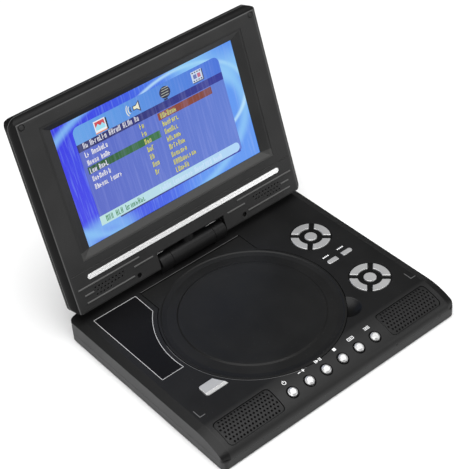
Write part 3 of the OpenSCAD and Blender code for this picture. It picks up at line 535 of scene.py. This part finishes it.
def menuIcons(menu):
    dark, cream = (0.01, 0.01, 0.03), (0.85, 0.85, 0.62)
    # a small landscape in a frame
    menu.box(-44.0, 26.2, -34.6, 34.4, 3, dark)
    menu.box(-45.0, 26.9, -35.8, 35.0, 4, (0.85, 0.88, 0.92))
    menu.box(-44.2, 30.4, -36.6, 34.2, 5, (0.62, 0.05, 0.06))
    menu.flat([(-44.2, 30.4), (-42, 32.6), (-40.2, 30.9), (-38.4, 32.4), (-36.6, 30.4), (-36.6, 28.4),
               (-44.2, 28.4)], 6, (0.35, 0.75, 0.9))
    menu.box(-45.0, 26.1, -35.8, 26.9, 4, (0.8, 0.25, 0.05))
    # a loudspeaker with sound arcs
    menu.flat([(-13.4, 29.3), (-10.6, 29.3), (-7.6, 26.6), (-7.6, 35), (-10.6, 32.4), (-13.4, 32.4)],
              3, dark)
    menu.flat([(-12.9, 29.9), (-10.4, 29.9), (-8.4, 28.1), (-8.4, 33.8), (-10.4, 31.9), (-12.9, 31.9)],
              4, cream)
    for radius in (2.6, 4.2, 5.8):
        arc = [(-12.6 + radius * math.cos(math.radians(a)), 30.9 + radius * math.sin(math.radians(a)))
               for a in range(140, 221, 16)]
        for (ax, ay), (bx, by) in zip(arc, arc[1:]):
            menu.flat([(ax, ay), (bx, by), (bx - 0.7, by), (ax - 0.7, ay)], 3, cream if radius > 3 else dark)
    # a globe on a stand
    menu.flat(ringPoints(13.8, 31.0, 4.6, 4.2, 20), 3, dark)
    for k, level in enumerate((-2.4, -0.6, 1.2, 2.8)):
        menu.box(13.8 - 3.6 + 0.5 * k, 31.0 + level, 13.8 + 2.6 + 0.3 * k, 31.5 + level, 4,
                 (0.45, 0.48, 0.42))
    menu.box(11.6, 25.6, 14.8, 26.6, 3, dark)
    # a strip of film
    menu.box(37.6, 26.6, 47.0, 34.6, 3, dark)
    menu.box(37.2, 27.2, 46.2, 35.0, 4, (0.62, 0.72, 0.86))
    for k in range(4):
        menu.box(38.0 + 2.1 * k, 33.6, 39.2 + 2.1 * k, 34.4, 5, dark)
        menu.box(38.0 + 2.1 * k, 27.8, 39.2 + 2.1 * k, 28.6, 5, dark)
    menu.box(38.6, 29.6, 41.4, 32.6, 5, (0.12, 0.16, 0.42))
    menu.box(42.2, 29.6, 44.8, 32.6, 5, (0.55, 0.12, 0.2))


def menuPicture():
    menu = MenuSheet()
    left, right, top = -61.3, 62.0, 37.4
    highCorners, rightCorners = (False, False, True, True), (False, True, True, False)
    menu.rounded(left, -33.8, right, top, 4.5, highCorners, 0, (0.085, 0.125, 0.56), (0.10, 0.19, 0.64))
    menu.rounded(left, 25.4, right, top, 4.5, highCorners, 1, (0.11, 0.36, 0.80), (0.05, 0.16, 0.70))
    menu.box(left, 20.0, right, 25.4, 2, (0.006, 0.008, 0.09), (0.012, 0.02, 0.30))
    menu.box(3.2, 14.2, 50.2, 19.4, 2, (0.26, 0.040, 0.012), (0.20, 0.040, 0.020))
    menu.box(-58.8, 3.0, 1.6, 8.2, 2, (0.006, 0.075, 0.012), (0.02, 0.16, 0.03))
    menuIcons(menu)
    shade = (0.02, 0.03, 0.30)
    menu.words(-57.0, 21.3, (2, 7, 5, 4, 2), 3, (0.80, 0.80, 0.86), size=1.12)
    rows = [picture["firstRow"] - picture["rowPitch"] * row for row in range(8)]
    for row, lengths in enumerate(((2, 7), (5, 4), (3, 4), (8,), (6, 5))):
        menu.words(-57.6, rows[row], lengths, 4, picture["white"], shade, 1.08)
    for row, length in enumerate((2, 2, 3, 3, 2, 3, 2)):
        menu.words(-12.6 + 0.3 * row, rows[row], (length,), 4, picture["yellow"], shade, 1.12)
    for row, length in enumerate((7, 7, 6, 6, 7, 7, 10, 6)):
        menu.words(5.2, rows[row], (length,), 4, picture["yellow"], shade, 1.12)
    menu.box(-46.0, -35.2, 60.5, -32.8, 1, (0.008, 0.01, 0.12), (0.015, 0.02, 0.35))
    menu.rounded(-61.6, -34.2, 60.4, -27.4, 3.2, rightCorners, 2, (0.50, 0.76, 0.72), (0.42, 0.66, 0.94))
    menu.words(-57.0, -32.9, (3, 3, 8), 3, picture["green"], size=1.2)
    menu.words(-11.0, -32.9, (5, 9, 8, 4), 3, (0.60, 0.78, 0.96), size=1.1)
    return menu.finish("menuSheet")


def screenSheet():
    # a thin lit sheet over the whole opening
    mesh = bpy.data.meshes.new("screenSheet")
    shape = bmesh.new()
    uv = shape.loops.layers.uv.new("screen")
    across, upwards = picture["sheetColumns"], picture["sheetRows"]
    out = panelFace + picture["lift"] * 0.6
    grid = []
    for row in range(upwards + 1):
        line = []
        for column in range(across + 1):
            x = (column / across - 0.5) * picture["width"]
            y = (row / upwards - 0.5) * picture["height"]
            line.append(shape.verts.new(lidPoint(x, screenMiddle + y, out)))
        grid.append(line)
    for row in range(upwards):
        for column in range(across):
            corners = ((column, row), (column + 1, row), (column + 1, row + 1), (column, row + 1))
            face = shape.faces.new([grid[r][c] for c, r in corners])
            for loop, (c, r) in zip(face.loops, corners):
                loop[uv].uv = (c / across, r / upwards)
    shape.to_mesh(mesh)
    shape.free()
    mesh.materials.append(pictureMaterial())
    return addPiece("screenSheet", mesh)


panelLow, panelHigh = reach("lcd_panel", lidUp)
panelFace = reach("lcd_panel", lidOut)[1]
screenMiddle = (panelLow + panelHigh) / 2
chance = random.Random(11)
for piece in (screenSheet(), menuPicture()):
    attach(piece, "lid")
print("screen picture made")


# keys with rounded rims

keyFinish = dict(rim=0.45 * mm, frontRim=1.1 * mm, segments=3, rimAngle=35, flatAngle=1.5, join=0.002 * mm)


def mergedCopy(node, name):
    # one object with the node's mesh, its split corners joined and its flat faces made whole
    mesh = nodes[node].data.copy()
    mesh.name = name
    mesh.transform(nodes[node].matrix_world)
    shape = bmesh.new()
    shape.from_mesh(mesh)
    bmesh.ops.remove_doubles(shape, verts=shape.verts, dist=keyFinish["join"])
    bmesh.ops.dissolve_limit(shape, angle_limit=math.radians(keyFinish["flatAngle"]), verts=shape.verts,
                             edges=shape.edges)
    shape.to_mesh(mesh)
    shape.free()
    return addPiece(name, mesh)


def settle(piece, name):
    # the modifiers' result becomes the plain mesh
    depsgraph = bpy.context.evaluated_depsgraph_get()
    mesh = bpy.data.meshes.new_from_object(piece.evaluated_get(depsgraph))
    mesh.name = name
    piece.modifiers.clear()
    piece.data = mesh
    for face in mesh.polygons:
        face.use_smooth = False


def rimmedKey(node, rim):
    piece = mergedCopy(node, node + "Cap")
    bevel = piece.modifiers.new("rim", "BEVEL")
    bevel.width = rim
    bevel.segments = keyFinish["segments"]
    bevel.limit_method = "ANGLE"
    bevel.angle_limit = math.radians(keyFinish["rimAngle"])
    bevel.use_clamp_overlap = True
    settle(piece, node + "Cap")
    piece.data.materials.clear()
    piece.data.materials.append(materials["silver_keys"])
    return piece


bodyOf = {node: body for body, held in frame["record"]["behaviour"]["bodies"].items() for node in held}
for node in list(nodes):
    isFront = node.startswith("front_key")
    if isFront or node.startswith(("pill_key", "upper_pad", "lower_pad")) or node == "open_button":
        cap = rimmedKey(node, keyFinish["frontRim"] if isFront else keyFinish["rim"])
        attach(cap, bodyOf[node])
        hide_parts(node)
print("keys made")


# print, trim, painted highlights and painted shade on the deck

front = dict(slopeY=-56 * mm, slopeRadius=48.712 * mm)
# in millimetres
# the last two sizes give the painted shade ring round each front key's opening
frontKeys = dict(count=6, pitch=14.6, y=-71.5, iconY=-63.2, gapShade=4.3, gapShadeWidth=0.85)
# the smaller radius carries a painted highlight along the lower left edge of the door's opening; the larger is the
# door's land
door = dict(x=-7.6, y=0.9, landRadius=67.5, highlightRadius=64.5)
plate = dict(left=-91.8, back=67.4, front=-8.2, landX=-56.4, landY=46.9)
# line widths: the rear line and the arc round the door are painted highlights, the outline is a printed pinline;
# the rear line lies along the plate's back edge
trimWidth = dict(back=0.35, doorHighlight=0.28, outline=0.38)
backLine = dict(left=-51.8, right=36.6, y=67.75)
cornerMarks = dict(places=(-94.6, 92.6), low=-50, middle=-49.4, high=-43, half=0.3, arm=4.2)
dashes = dict(places=(66.4, 80.0), count=4, pitch=1.5, start=-3.2, end=-2.2, low=6.6, high=7.7)


def deckPoint(x, y, lift=0.0):
    # a place on the deck, or on the front slope where y lies before it
    past = max(front["slopeY"] - y, 0)
    centre = deckTop - front["slopeRadius"]
    radius = front["slopeRadius"] + lift
    if past == 0:
        return Vector((x, y, deckTop + lift))
    lean = math.asin(min(past / front["slopeRadius"], 1))
    return Vector((x, front["slopeY"] - radius * math.sin(lean), centre + radius * math.cos(lean)))


class DeckPrintAndPaintedLight:
    # thin raised shapes that lie on the deck
    def __init__(self, lift):
        self.mesh = bmesh.new()
        self.lift = lift

    def patch(self, outline):
        top = [self.mesh.verts.new(deckPoint(x, y, self.lift)) for x, y in outline]
        low = [self.mesh.verts.new(deckPoint(x, y, -0.02 * mm)) for x, y in outline]
        face = self.mesh.faces.new(top)
        face.normal_update()
        if face.normal.z < 0:
            face.normal_flip()
        for k in range(len(top)):
            j = (k + 1) % len(top)
            self.mesh.faces.new((top[k], low[k], low[j], top[j]))

    def bar(self, x0, y0, x1, y1):
        self.patch([(x0 * mm, y0 * mm), (x1 * mm, y0 * mm), (x1 * mm, y1 * mm), (x0 * mm, y1 * mm)])

    def ring(self, cx, cy, radius, width, start=0, end=360):
        steps = max(int((end - start) / 15), 3)
        for k in range(steps):
            a, b = (math.radians(start + (end - start) * (k + d) / steps) for d in (0, 1))
            inner, outer = radius - width, radius
            self.patch([((cx + r * math.cos(t)) * mm, (cy + r * math.sin(t)) * mm)
                        for r, t in ((inner, a), (outer, a), (outer, b), (inner, b))])

    def line(self, points, width):
        # a ribbon of one width through the points, in millimetres
        for (ax, ay), (bx, by) in zip(points, points[1:]):
            dx, dy = bx - ax, by - ay
            size = math.hypot(dx, dy)
            sx, sy = -dy / size * width / 2, dx / size * width / 2
            self.patch([((ax + sx) * mm, (ay + sy) * mm), ((ax - sx) * mm, (ay - sy) * mm),
                        ((bx - sx) * mm, (by - sy) * mm), ((bx + sx) * mm, (by + sy) * mm)])

    def finish(self, name, material, slot):
        bmesh.ops.recalc_face_normals(self.mesh, faces=self.mesh.faces)
        mesh = bpy.data.meshes.new(name)
        self.mesh.to_mesh(mesh)
        self.mesh.free()
        mesh.materials.append(materials[material])
        piece = addPiece(name, mesh)
        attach(piece, "base")


def doorArc(radius, start, end, count):
    angles = [math.radians(start + (end - start) * k / count) for k in range(count + 1)]
    return [(door["x"] + radius * math.cos(a), door["y"] + radius * math.sin(a)) for a in angles]


def frontKeyX(number):
    return (number - (frontKeys["count"] - 1) / 2) * frontKeys["pitch"]


def keyIcons():
    icons = DeckPrintAndPaintedLight(0.05 * mm)
    y = frontKeys["iconY"]
    for number in range(frontKeys["count"]):
        x = frontKeyX(number)
        if number == 0:
            icons.ring(x, y, 1.5, 0.45, 120, 420)
            icons.bar(x - 0.25, y + 0.3, x + 0.25, y + 2.0)
        elif number == 1:
            icons.bar(x - 2.6, y - 0.3, x - 0.4, y + 0.3)
            icons.bar(x + 0.6, y - 0.3, x + 2.8, y + 0.3)
            icons.bar(x + 1.4, y - 1.1, x + 2.0, y + 1.1)
        elif number == 2:
            icons.bar(x - 2.6, y - 1.2, x - 2.1, y + 1.2)
            arrow = ((x - 1.6, y - 1.2), (x + 0.4, y), (x - 1.6, y + 1.2))
            icons.patch([(cx * mm, cy * mm) for cx, cy in arrow])
            icons.bar(x + 1.0, y - 1.2, x + 1.5, y + 1.2)
            icons.bar(x + 2.1, y - 1.2, x + 2.6, y + 1.2)
        elif number == 3:
            icons.bar(x - 1.1, y - 1.1, x + 1.1, y + 1.1)
        elif number == 4:
            icons.line([(x - 2.4, y - 1.0), (x + 2.4, y - 1.0), (x + 2.4, y + 1.0), (x - 2.4, y + 1.0),
                        (x - 2.4, y - 1.0)], 0.4)
            icons.bar(x - 1.5, y - 0.2, x + 1.5, y + 0.2)
        else:
            for level in (-1.0, -0.1, 0.8):
                icons.bar(x - 2.2, y + level - 0.2, x + 2.2, y + level + 0.2)
    # short dashes behind the pill keys
    for x in dashes["places"]:
        for k in range(dashes["count"]):
            step = dashes["pitch"] * k
            icons.bar(x + dashes["start"] + step, dashes["low"], x + dashes["end"] + step, dashes["high"])
    icons.finish("keyIcons", "print_white", "silver_keys")


def deckTrim():
    trim = DeckPrintAndPaintedLight(0.03 * mm)
    low, middle, high = cornerMarks["low"], cornerMarks["middle"], cornerMarks["high"]
    for x in cornerMarks["places"]:
        trim.bar(x - cornerMarks["half"], middle, x + cornerMarks["half"], high)
        trim.bar(x - cornerMarks["half"], low, x + cornerMarks["arm"], middle)
    # painted highlight: a light line along the plate's rear edge, where that edge catches light
    trim.line([(backLine["left"], backLine["y"]), (backLine["right"], backLine["y"])], trimWidth["back"])
    # painted highlight: an arc along the lower left edge of the door's opening, where that edge catches light
    trim.line(doorArc(door["highlightRadius"], 168, 262, 30), trimWidth["doorHighlight"])
    trim.finish("deckTrim", "print_and_highlight_grey", "silver_keys")
    # a fine line round the plate, which follows the door's land between its corners
    start = math.degrees(math.atan2(plate["landY"] - door["y"], plate["landX"] - door["x"]))
    drop = plate["front"] - door["y"]
    end = math.degrees(math.atan2(drop, -(door["landRadius"] ** 2 - drop ** 2) ** 0.5)) + 360
    pinLine = DeckPrintAndPaintedLight(0.03 * mm)
    pinLine.line([(plate["left"], plate["back"]), (plate["landX"], plate["back"])]
                 + doorArc(door["landRadius"], start, end, 24)
                 + [(plate["left"], plate["front"]), (plate["left"], plate["back"])], trimWidth["outline"])
    pinLine.finish("pinLine", "print_silver", "silver_keys")


def keyGapShade():
    # painted shade: a dark ring round each front key's opening, where the gap round the key lies in shade
    gapShades = DeckPrintAndPaintedLight(0.02 * mm)
    for number in range(frontKeys["count"]):
        gapShades.ring(frontKeyX(number), frontKeys["y"], frontKeys["gapShade"], frontKeys["gapShadeWidth"])
    gapShades.finish("keyGapShade", "painted_hole_shade", "base_plastic")


keyIcons()
keyGapShade()
deckTrim()
print("deck print made")


# perforated grilles

grille = dict(pitchX=2.62 * mm, pitchY=2.6 * mm, columns=17, rows=7, holeRadius=0.72 * mm, holeCorners=14,
              rimDepth=0.10 * mm, rimFlare=1.22, centreX=70.5 * mm, centreY=-68.5 * mm, lift=-0.36 * mm)


def groupNode(tree, kind, **settings):
    return addNode(tree, "GeometryNode" + kind, **settings)


def groupShape(piece, tree, settings):
    # the group's inputs are set by identifier, and the result becomes the piece's mesh
    modifier = piece.modifiers.new(tree.name, "NODES")
    modifier.node_group = tree
    for item in tree.interface.items_tree:
        if item.item_type == "SOCKET" and item.in_out == "INPUT" and item.name in settings:
            modifier[item.identifier] = settings[item.name]
    settle(piece, piece.name)


def perforationTree():
    tree = bpy.data.node_groups.new("perforations", "GeometryNodeTree")
    for name, kind in (("Geometry", "NodeSocketGeometry"), ("Hole Radius", "NodeSocketFloat"),
                       ("Slope Radius", "NodeSocketFloat"), ("Slope Start", "NodeSocketFloat")):
        tree.interface.new_socket(name=name, in_out="INPUT", socket_type=kind)
    for name in ("Hole Material", "Rim Material"):
        tree.interface.new_socket(name=name, in_out="INPUT", socket_type="NodeSocketMaterial")
    tree.interface.new_socket(name="Geometry", in_out="OUTPUT", socket_type="NodeSocketGeometry")
    ins, outs = addNode(tree, "NodeGroupInput"), addNode(tree, "NodeGroupOutput")
    place = groupNode(tree, "InputPosition")
    split = addNode(tree, "ShaderNodeSeparateXYZ")
    wire(tree, place.outputs[0], split.inputs[0])
    past = mathNode(tree, "SUBTRACT", ins.outputs["Slope Start"], split.outputs["Y"])
    lean = mathNode(tree, "ARCSINE", mathNode(tree, "DIVIDE", past, ins.outputs["Slope Radius"]))
    turn = addNode(tree, "ShaderNodeCombineXYZ")
    wire(tree, lean, turn.inputs["X"])
    disc = groupNode(tree, "MeshCircle", fill_type="NGON")
    disc.inputs["Vertices"].default_value = grille["holeCorners"]
    wire(tree, ins.outputs["Hole Radius"], disc.inputs["Radius"])
    rim = groupNode(tree, "MeshCone", fill_type="NONE")
    rim.inputs["Vertices"].default_value = grille["holeCorners"]
    rim.inputs["Depth"].default_value = grille["rimDepth"]
    wire(tree, ins.outputs["Hole Radius"], rim.inputs["Radius Top"])
    flare = mathNode(tree, "MULTIPLY", ins.outputs["Hole Radius"], grille["rimFlare"])
    wire(tree, flare, rim.inputs["Radius Bottom"])
    lifted = groupNode(tree, "Transform")
    lifted.inputs["Translation"].default_value = (0, 0, grille["rimDepth"] / 2)
    wire(tree, disc.outputs["Mesh"], lifted.inputs["Geometry"])
    painted = []
    for source, name in ((lifted.outputs["Geometry"], "Hole Material"),
                         (rim.outputs["Mesh"], "Rim Material")):
        paint = groupNode(tree, "SetMaterial")
        wire(tree, source, paint.inputs["Geometry"])
        wire(tree, ins.outputs[name], paint.inputs["Material"])
        painted.append(paint.outputs["Geometry"])
    joined = groupNode(tree, "JoinGeometry")
    for source in painted:
        wire(tree, source, joined.inputs[0])
    spread = groupNode(tree, "InstanceOnPoints")
    wire(tree, ins.outputs["Geometry"], spread.inputs["Points"])
    wire(tree, joined.outputs[0], spread.inputs["Instance"])
    wire(tree, turn.outputs[0], spread.inputs["Rotation"])
    real = groupNode(tree, "RealizeInstances")
    wire(tree, spread.outputs[0], real.inputs[0])
    wire(tree, real.outputs[0], outs.inputs[0])
    return tree


def grilleHoles():
    # one point for each hole, staggered in rows down the slope, with the four corners left out
    points = []
    middleColumn, middleRow = (grille["columns"] - 1) / 2, (grille["rows"] - 1) / 2
    for side in (-1, 1):
        for row in range(grille["rows"]):
            shift = 0.5 if row % 2 else 0.0
            count = grille["columns"] - row % 2
            for column in range(count):
                if row in (0, grille["rows"] - 1) and column in (0, count - 1):
                    continue
                x = side * grille["centreX"] + (column + shift - middleColumn) * grille["pitchX"]
                y = grille["centreY"] + (row - middleRow) * grille["pitchY"]
                points.append(deckPoint(x, y, grille["lift"]))
    mesh = bpy.data.meshes.new("grilleHoles")
    mesh.from_pydata([tuple(p) for p in points], [], [])
    piece = addPiece("grilleHoles", mesh)
    # each hole is a near black disc on a flared rim: painted shade for the hole's inside
    groupShape(piece, perforationTree(), {
        "Hole Radius": grille["holeRadius"], "Slope Radius": front["slopeRadius"],
        "Slope Start": front["slopeY"], "Hole Material": materials["painted_hole_shade"],
        "Rim Material": materials["grille_plastic"]})
    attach(piece, "base")


grilleHoles()
print("grilles made")


# dark crosses on the screw heads: painted shade in place of cut cross recesses

crosses = dict(caseX=95.5, caseY=(-56, 72), caseArm=3.4 * mm, caseTurn=0.4, lidX=47.6, lidArm=2.2 * mm,
               armShare=0.24, depth=0.06 * mm)


def crossTree():
    tree = bpy.data.node_groups.new("screwCrosses", "GeometryNodeTree")
    for name, kind in (("Geometry", "NodeSocketGeometry"), ("Arm Length", "NodeSocketFloat"),
                       ("Arm Width", "NodeSocketFloat"), ("Material", "NodeSocketMaterial")):
        tree.interface.new_socket(name=name, in_out="INPUT", socket_type=kind)
    tree.interface.new_socket(name="Geometry", in_out="OUTPUT", socket_type="NodeSocketGeometry")
    ins, outs = addNode(tree, "NodeGroupInput"), addNode(tree, "NodeGroupOutput")
    joined = groupNode(tree, "JoinGeometry")
    for longAxis, shortAxis in (("X", "Y"), ("Y", "X")):
        size = addNode(tree, "ShaderNodeCombineXYZ")
        wire(tree, ins.outputs["Arm Length"], size.inputs[longAxis])
        wire(tree, ins.outputs["Arm Width"], size.inputs[shortAxis])
        size.inputs["Z"].default_value = crosses["depth"]
        arm = groupNode(tree, "MeshCube")
        wire(tree, size.outputs[0], arm.inputs["Size"])
        wire(tree, arm.outputs["Mesh"], joined.inputs[0])
    spread = groupNode(tree, "InstanceOnPoints")
    wire(tree, ins.outputs["Geometry"], spread.inputs["Points"])
    wire(tree, joined.outputs[0], spread.inputs["Instance"])
    turn = groupNode(tree, "InputNamedAttribute", data_type="FLOAT_VECTOR")
    turn.inputs["Name"].default_value = "turn"
    wire(tree, turn.outputs["Attribute"], spread.inputs["Rotation"])
    real = groupNode(tree, "RealizeInstances")
    wire(tree, spread.outputs[0], real.inputs[0])
    paint = groupNode(tree, "SetMaterial")
    wire(tree, real.outputs[0], paint.inputs["Geometry"])
    wire(tree, ins.outputs["Material"], paint.inputs["Material"])
    wire(tree, paint.outputs["Geometry"], outs.inputs[0])
    return tree


def screwCrosses(name, body, places, turn, armLength):
    mesh = bpy.data.meshes.new(name)
    mesh.from_pydata([tuple(place) for place in places], [], [])
    held = mesh.attributes.new("turn", "FLOAT_VECTOR", "POINT")
    for item in held.data:
        item.vector = turn
    piece = addPiece(name, mesh)
    groupShape(piece, screwTree, {"Arm Length": armLength, "Arm Width": armLength * crosses["armShare"],
                                  "Material": materials["painted_hole_shade"]})
    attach(piece, body)


screwTree = crossTree()
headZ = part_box("case_screws")[0][2]
casePlaces = [Vector((side * crosses["caseX"] * mm, y * mm, headZ))
              for side in (-1, 1) for y in crosses["caseY"]]
screwCrosses("caseScrewCrosses", "base", casePlaces, (0, 0, crosses["caseTurn"]), crosses["caseArm"])
screwOut = reach("lid_screws", lidOut)[1]
screwUp = sum(reach("lid_screws", lidUp)) / 2
lidPlaces = [lidPoint(side * crosses["lidX"] * mm, screwUp, screwOut) for side in (-1, 1)]
lidTurn = (math.atan2(lidUp.z, lidUp.y), 0, 0)
screwCrosses("lidScrewCrosses", "lid", lidPlaces, lidTurn, crosses["lidArm"])
print("screw crosses made")


# CAD nodes' materials

slotOf = {part["node"]: part["material_slot"] for part in frame["record"]["subparts"]}


def screenGlassMaterial():
    material, tree, shader = startMaterial("panelEdge")
    grain = grainNode(tree, dict(rough=(0.2, 0.3)))
    marks = addNode(tree, "ShaderNodeGroup", node_tree=handlingMarks)
    wire(tree, tinted(tree, (0.01, 0.01, 0.014), grain, marks, (0.1, 0.1, 0.1)), shader.inputs["Base Color"])
    wire(tree, grain.outputs["Rough"], shader.inputs["Roughness"])
    return material


materials["screen"] = screenGlassMaterial()


def repaint(node):
    mesh = nodes[node].data
    mesh.materials.clear()
    mesh.materials.append(materials[slotOf[node]])


for node in nodes:
    repaint(node)
print("frame painted")


# stage, lights and camera

studio = dict(
    cameraPlace=(-0.43387, -0.53585, 0.66074), cameraForward=(0.46541, 0.60974, -0.64157),
    cameraUp=(0.44744, 0.46334, 0.76493), lens=106.75, floorSize=5.0,
    worldColour=(0.16, 0.16, 0.16), worldStrength=0.9,
)
# name, place, target, size and power
lights = (
    ("overhead", (-0.1, -0.1, 1.3), (0, 0, 0), (1.4, 1.4), 28.0),
    ("frontLeft", (-1.1, -0.9, 0.8), (0, 0, 0.05), (0.9, 0.9), 8.0),
    ("frontRight", (1.0, -1.0, 0.7), (0, 0, 0.05), (0.7, 0.9), 5.0),
)


def lookMatrix(place, forward, up):
    back = -Vector(forward).normalized()
    right = Vector(up).cross(back).normalized()
    up = back.cross(right)
    turn = Matrix((right, up, back)).transposed().to_4x4()
    return Matrix.Translation(Vector(place)) @ turn


def addCamera():
    data = bpy.data.cameras.new("camera")
    data.lens = studio["lens"]
    data.sensor_width = 36.0
    data.clip_start = 0.01
    data.clip_end = 20.0
    camera = addPiece("camera", data)
    camera.matrix_world = lookMatrix(studio["cameraPlace"], studio["cameraForward"], studio["cameraUp"])
    bpy.context.scene.camera = camera


def addLight(name, place, target, size, power):
    data = bpy.data.lights.new(name, "AREA")
    data.shape = "RECTANGLE"
    data.size, data.size_y = size
    data.energy = power
    light = addPiece(name, data)
    light.matrix_world = lookMatrix(place, Vector(target) - Vector(place), (0.01, 0.02, 1))


def addFloor():
    mesh = bpy.data.meshes.new("floor")
    half = studio["floorSize"]
    corners = [(-half, -half, 0), (half, -half, 0), (half, half, 0), (-half, half, 0)]
    mesh.from_pydata(corners, [], [(0, 1, 2, 3)])
    material, tree, shader = startMaterial("paleFloor")
    shader.inputs["Base Color"].default_value = (0.86, 0.86, 0.86, 1)
    shader.inputs["Roughness"].default_value = 0.9
    shader.inputs["Specular IOR Level"].default_value = 0.1
    mesh.materials.append(material)
    floor = addPiece("floor", mesh)


def addWorld():
    world = bpy.data.worlds.new("studioAir")
    world.use_nodes = True
    sky = world.node_tree.nodes["Background"]
    sky.inputs["Color"].default_value = (*studio["worldColour"], 1)
    sky.inputs["Strength"].default_value = studio["worldStrength"]
    bpy.context.scene.world = world


addCamera()
addFloor()
addWorld()
for light in lights:
    addLight(*light)
bpy.context.scene.view_settings.view_transform = "Standard"
print("stage, lights and camera set")
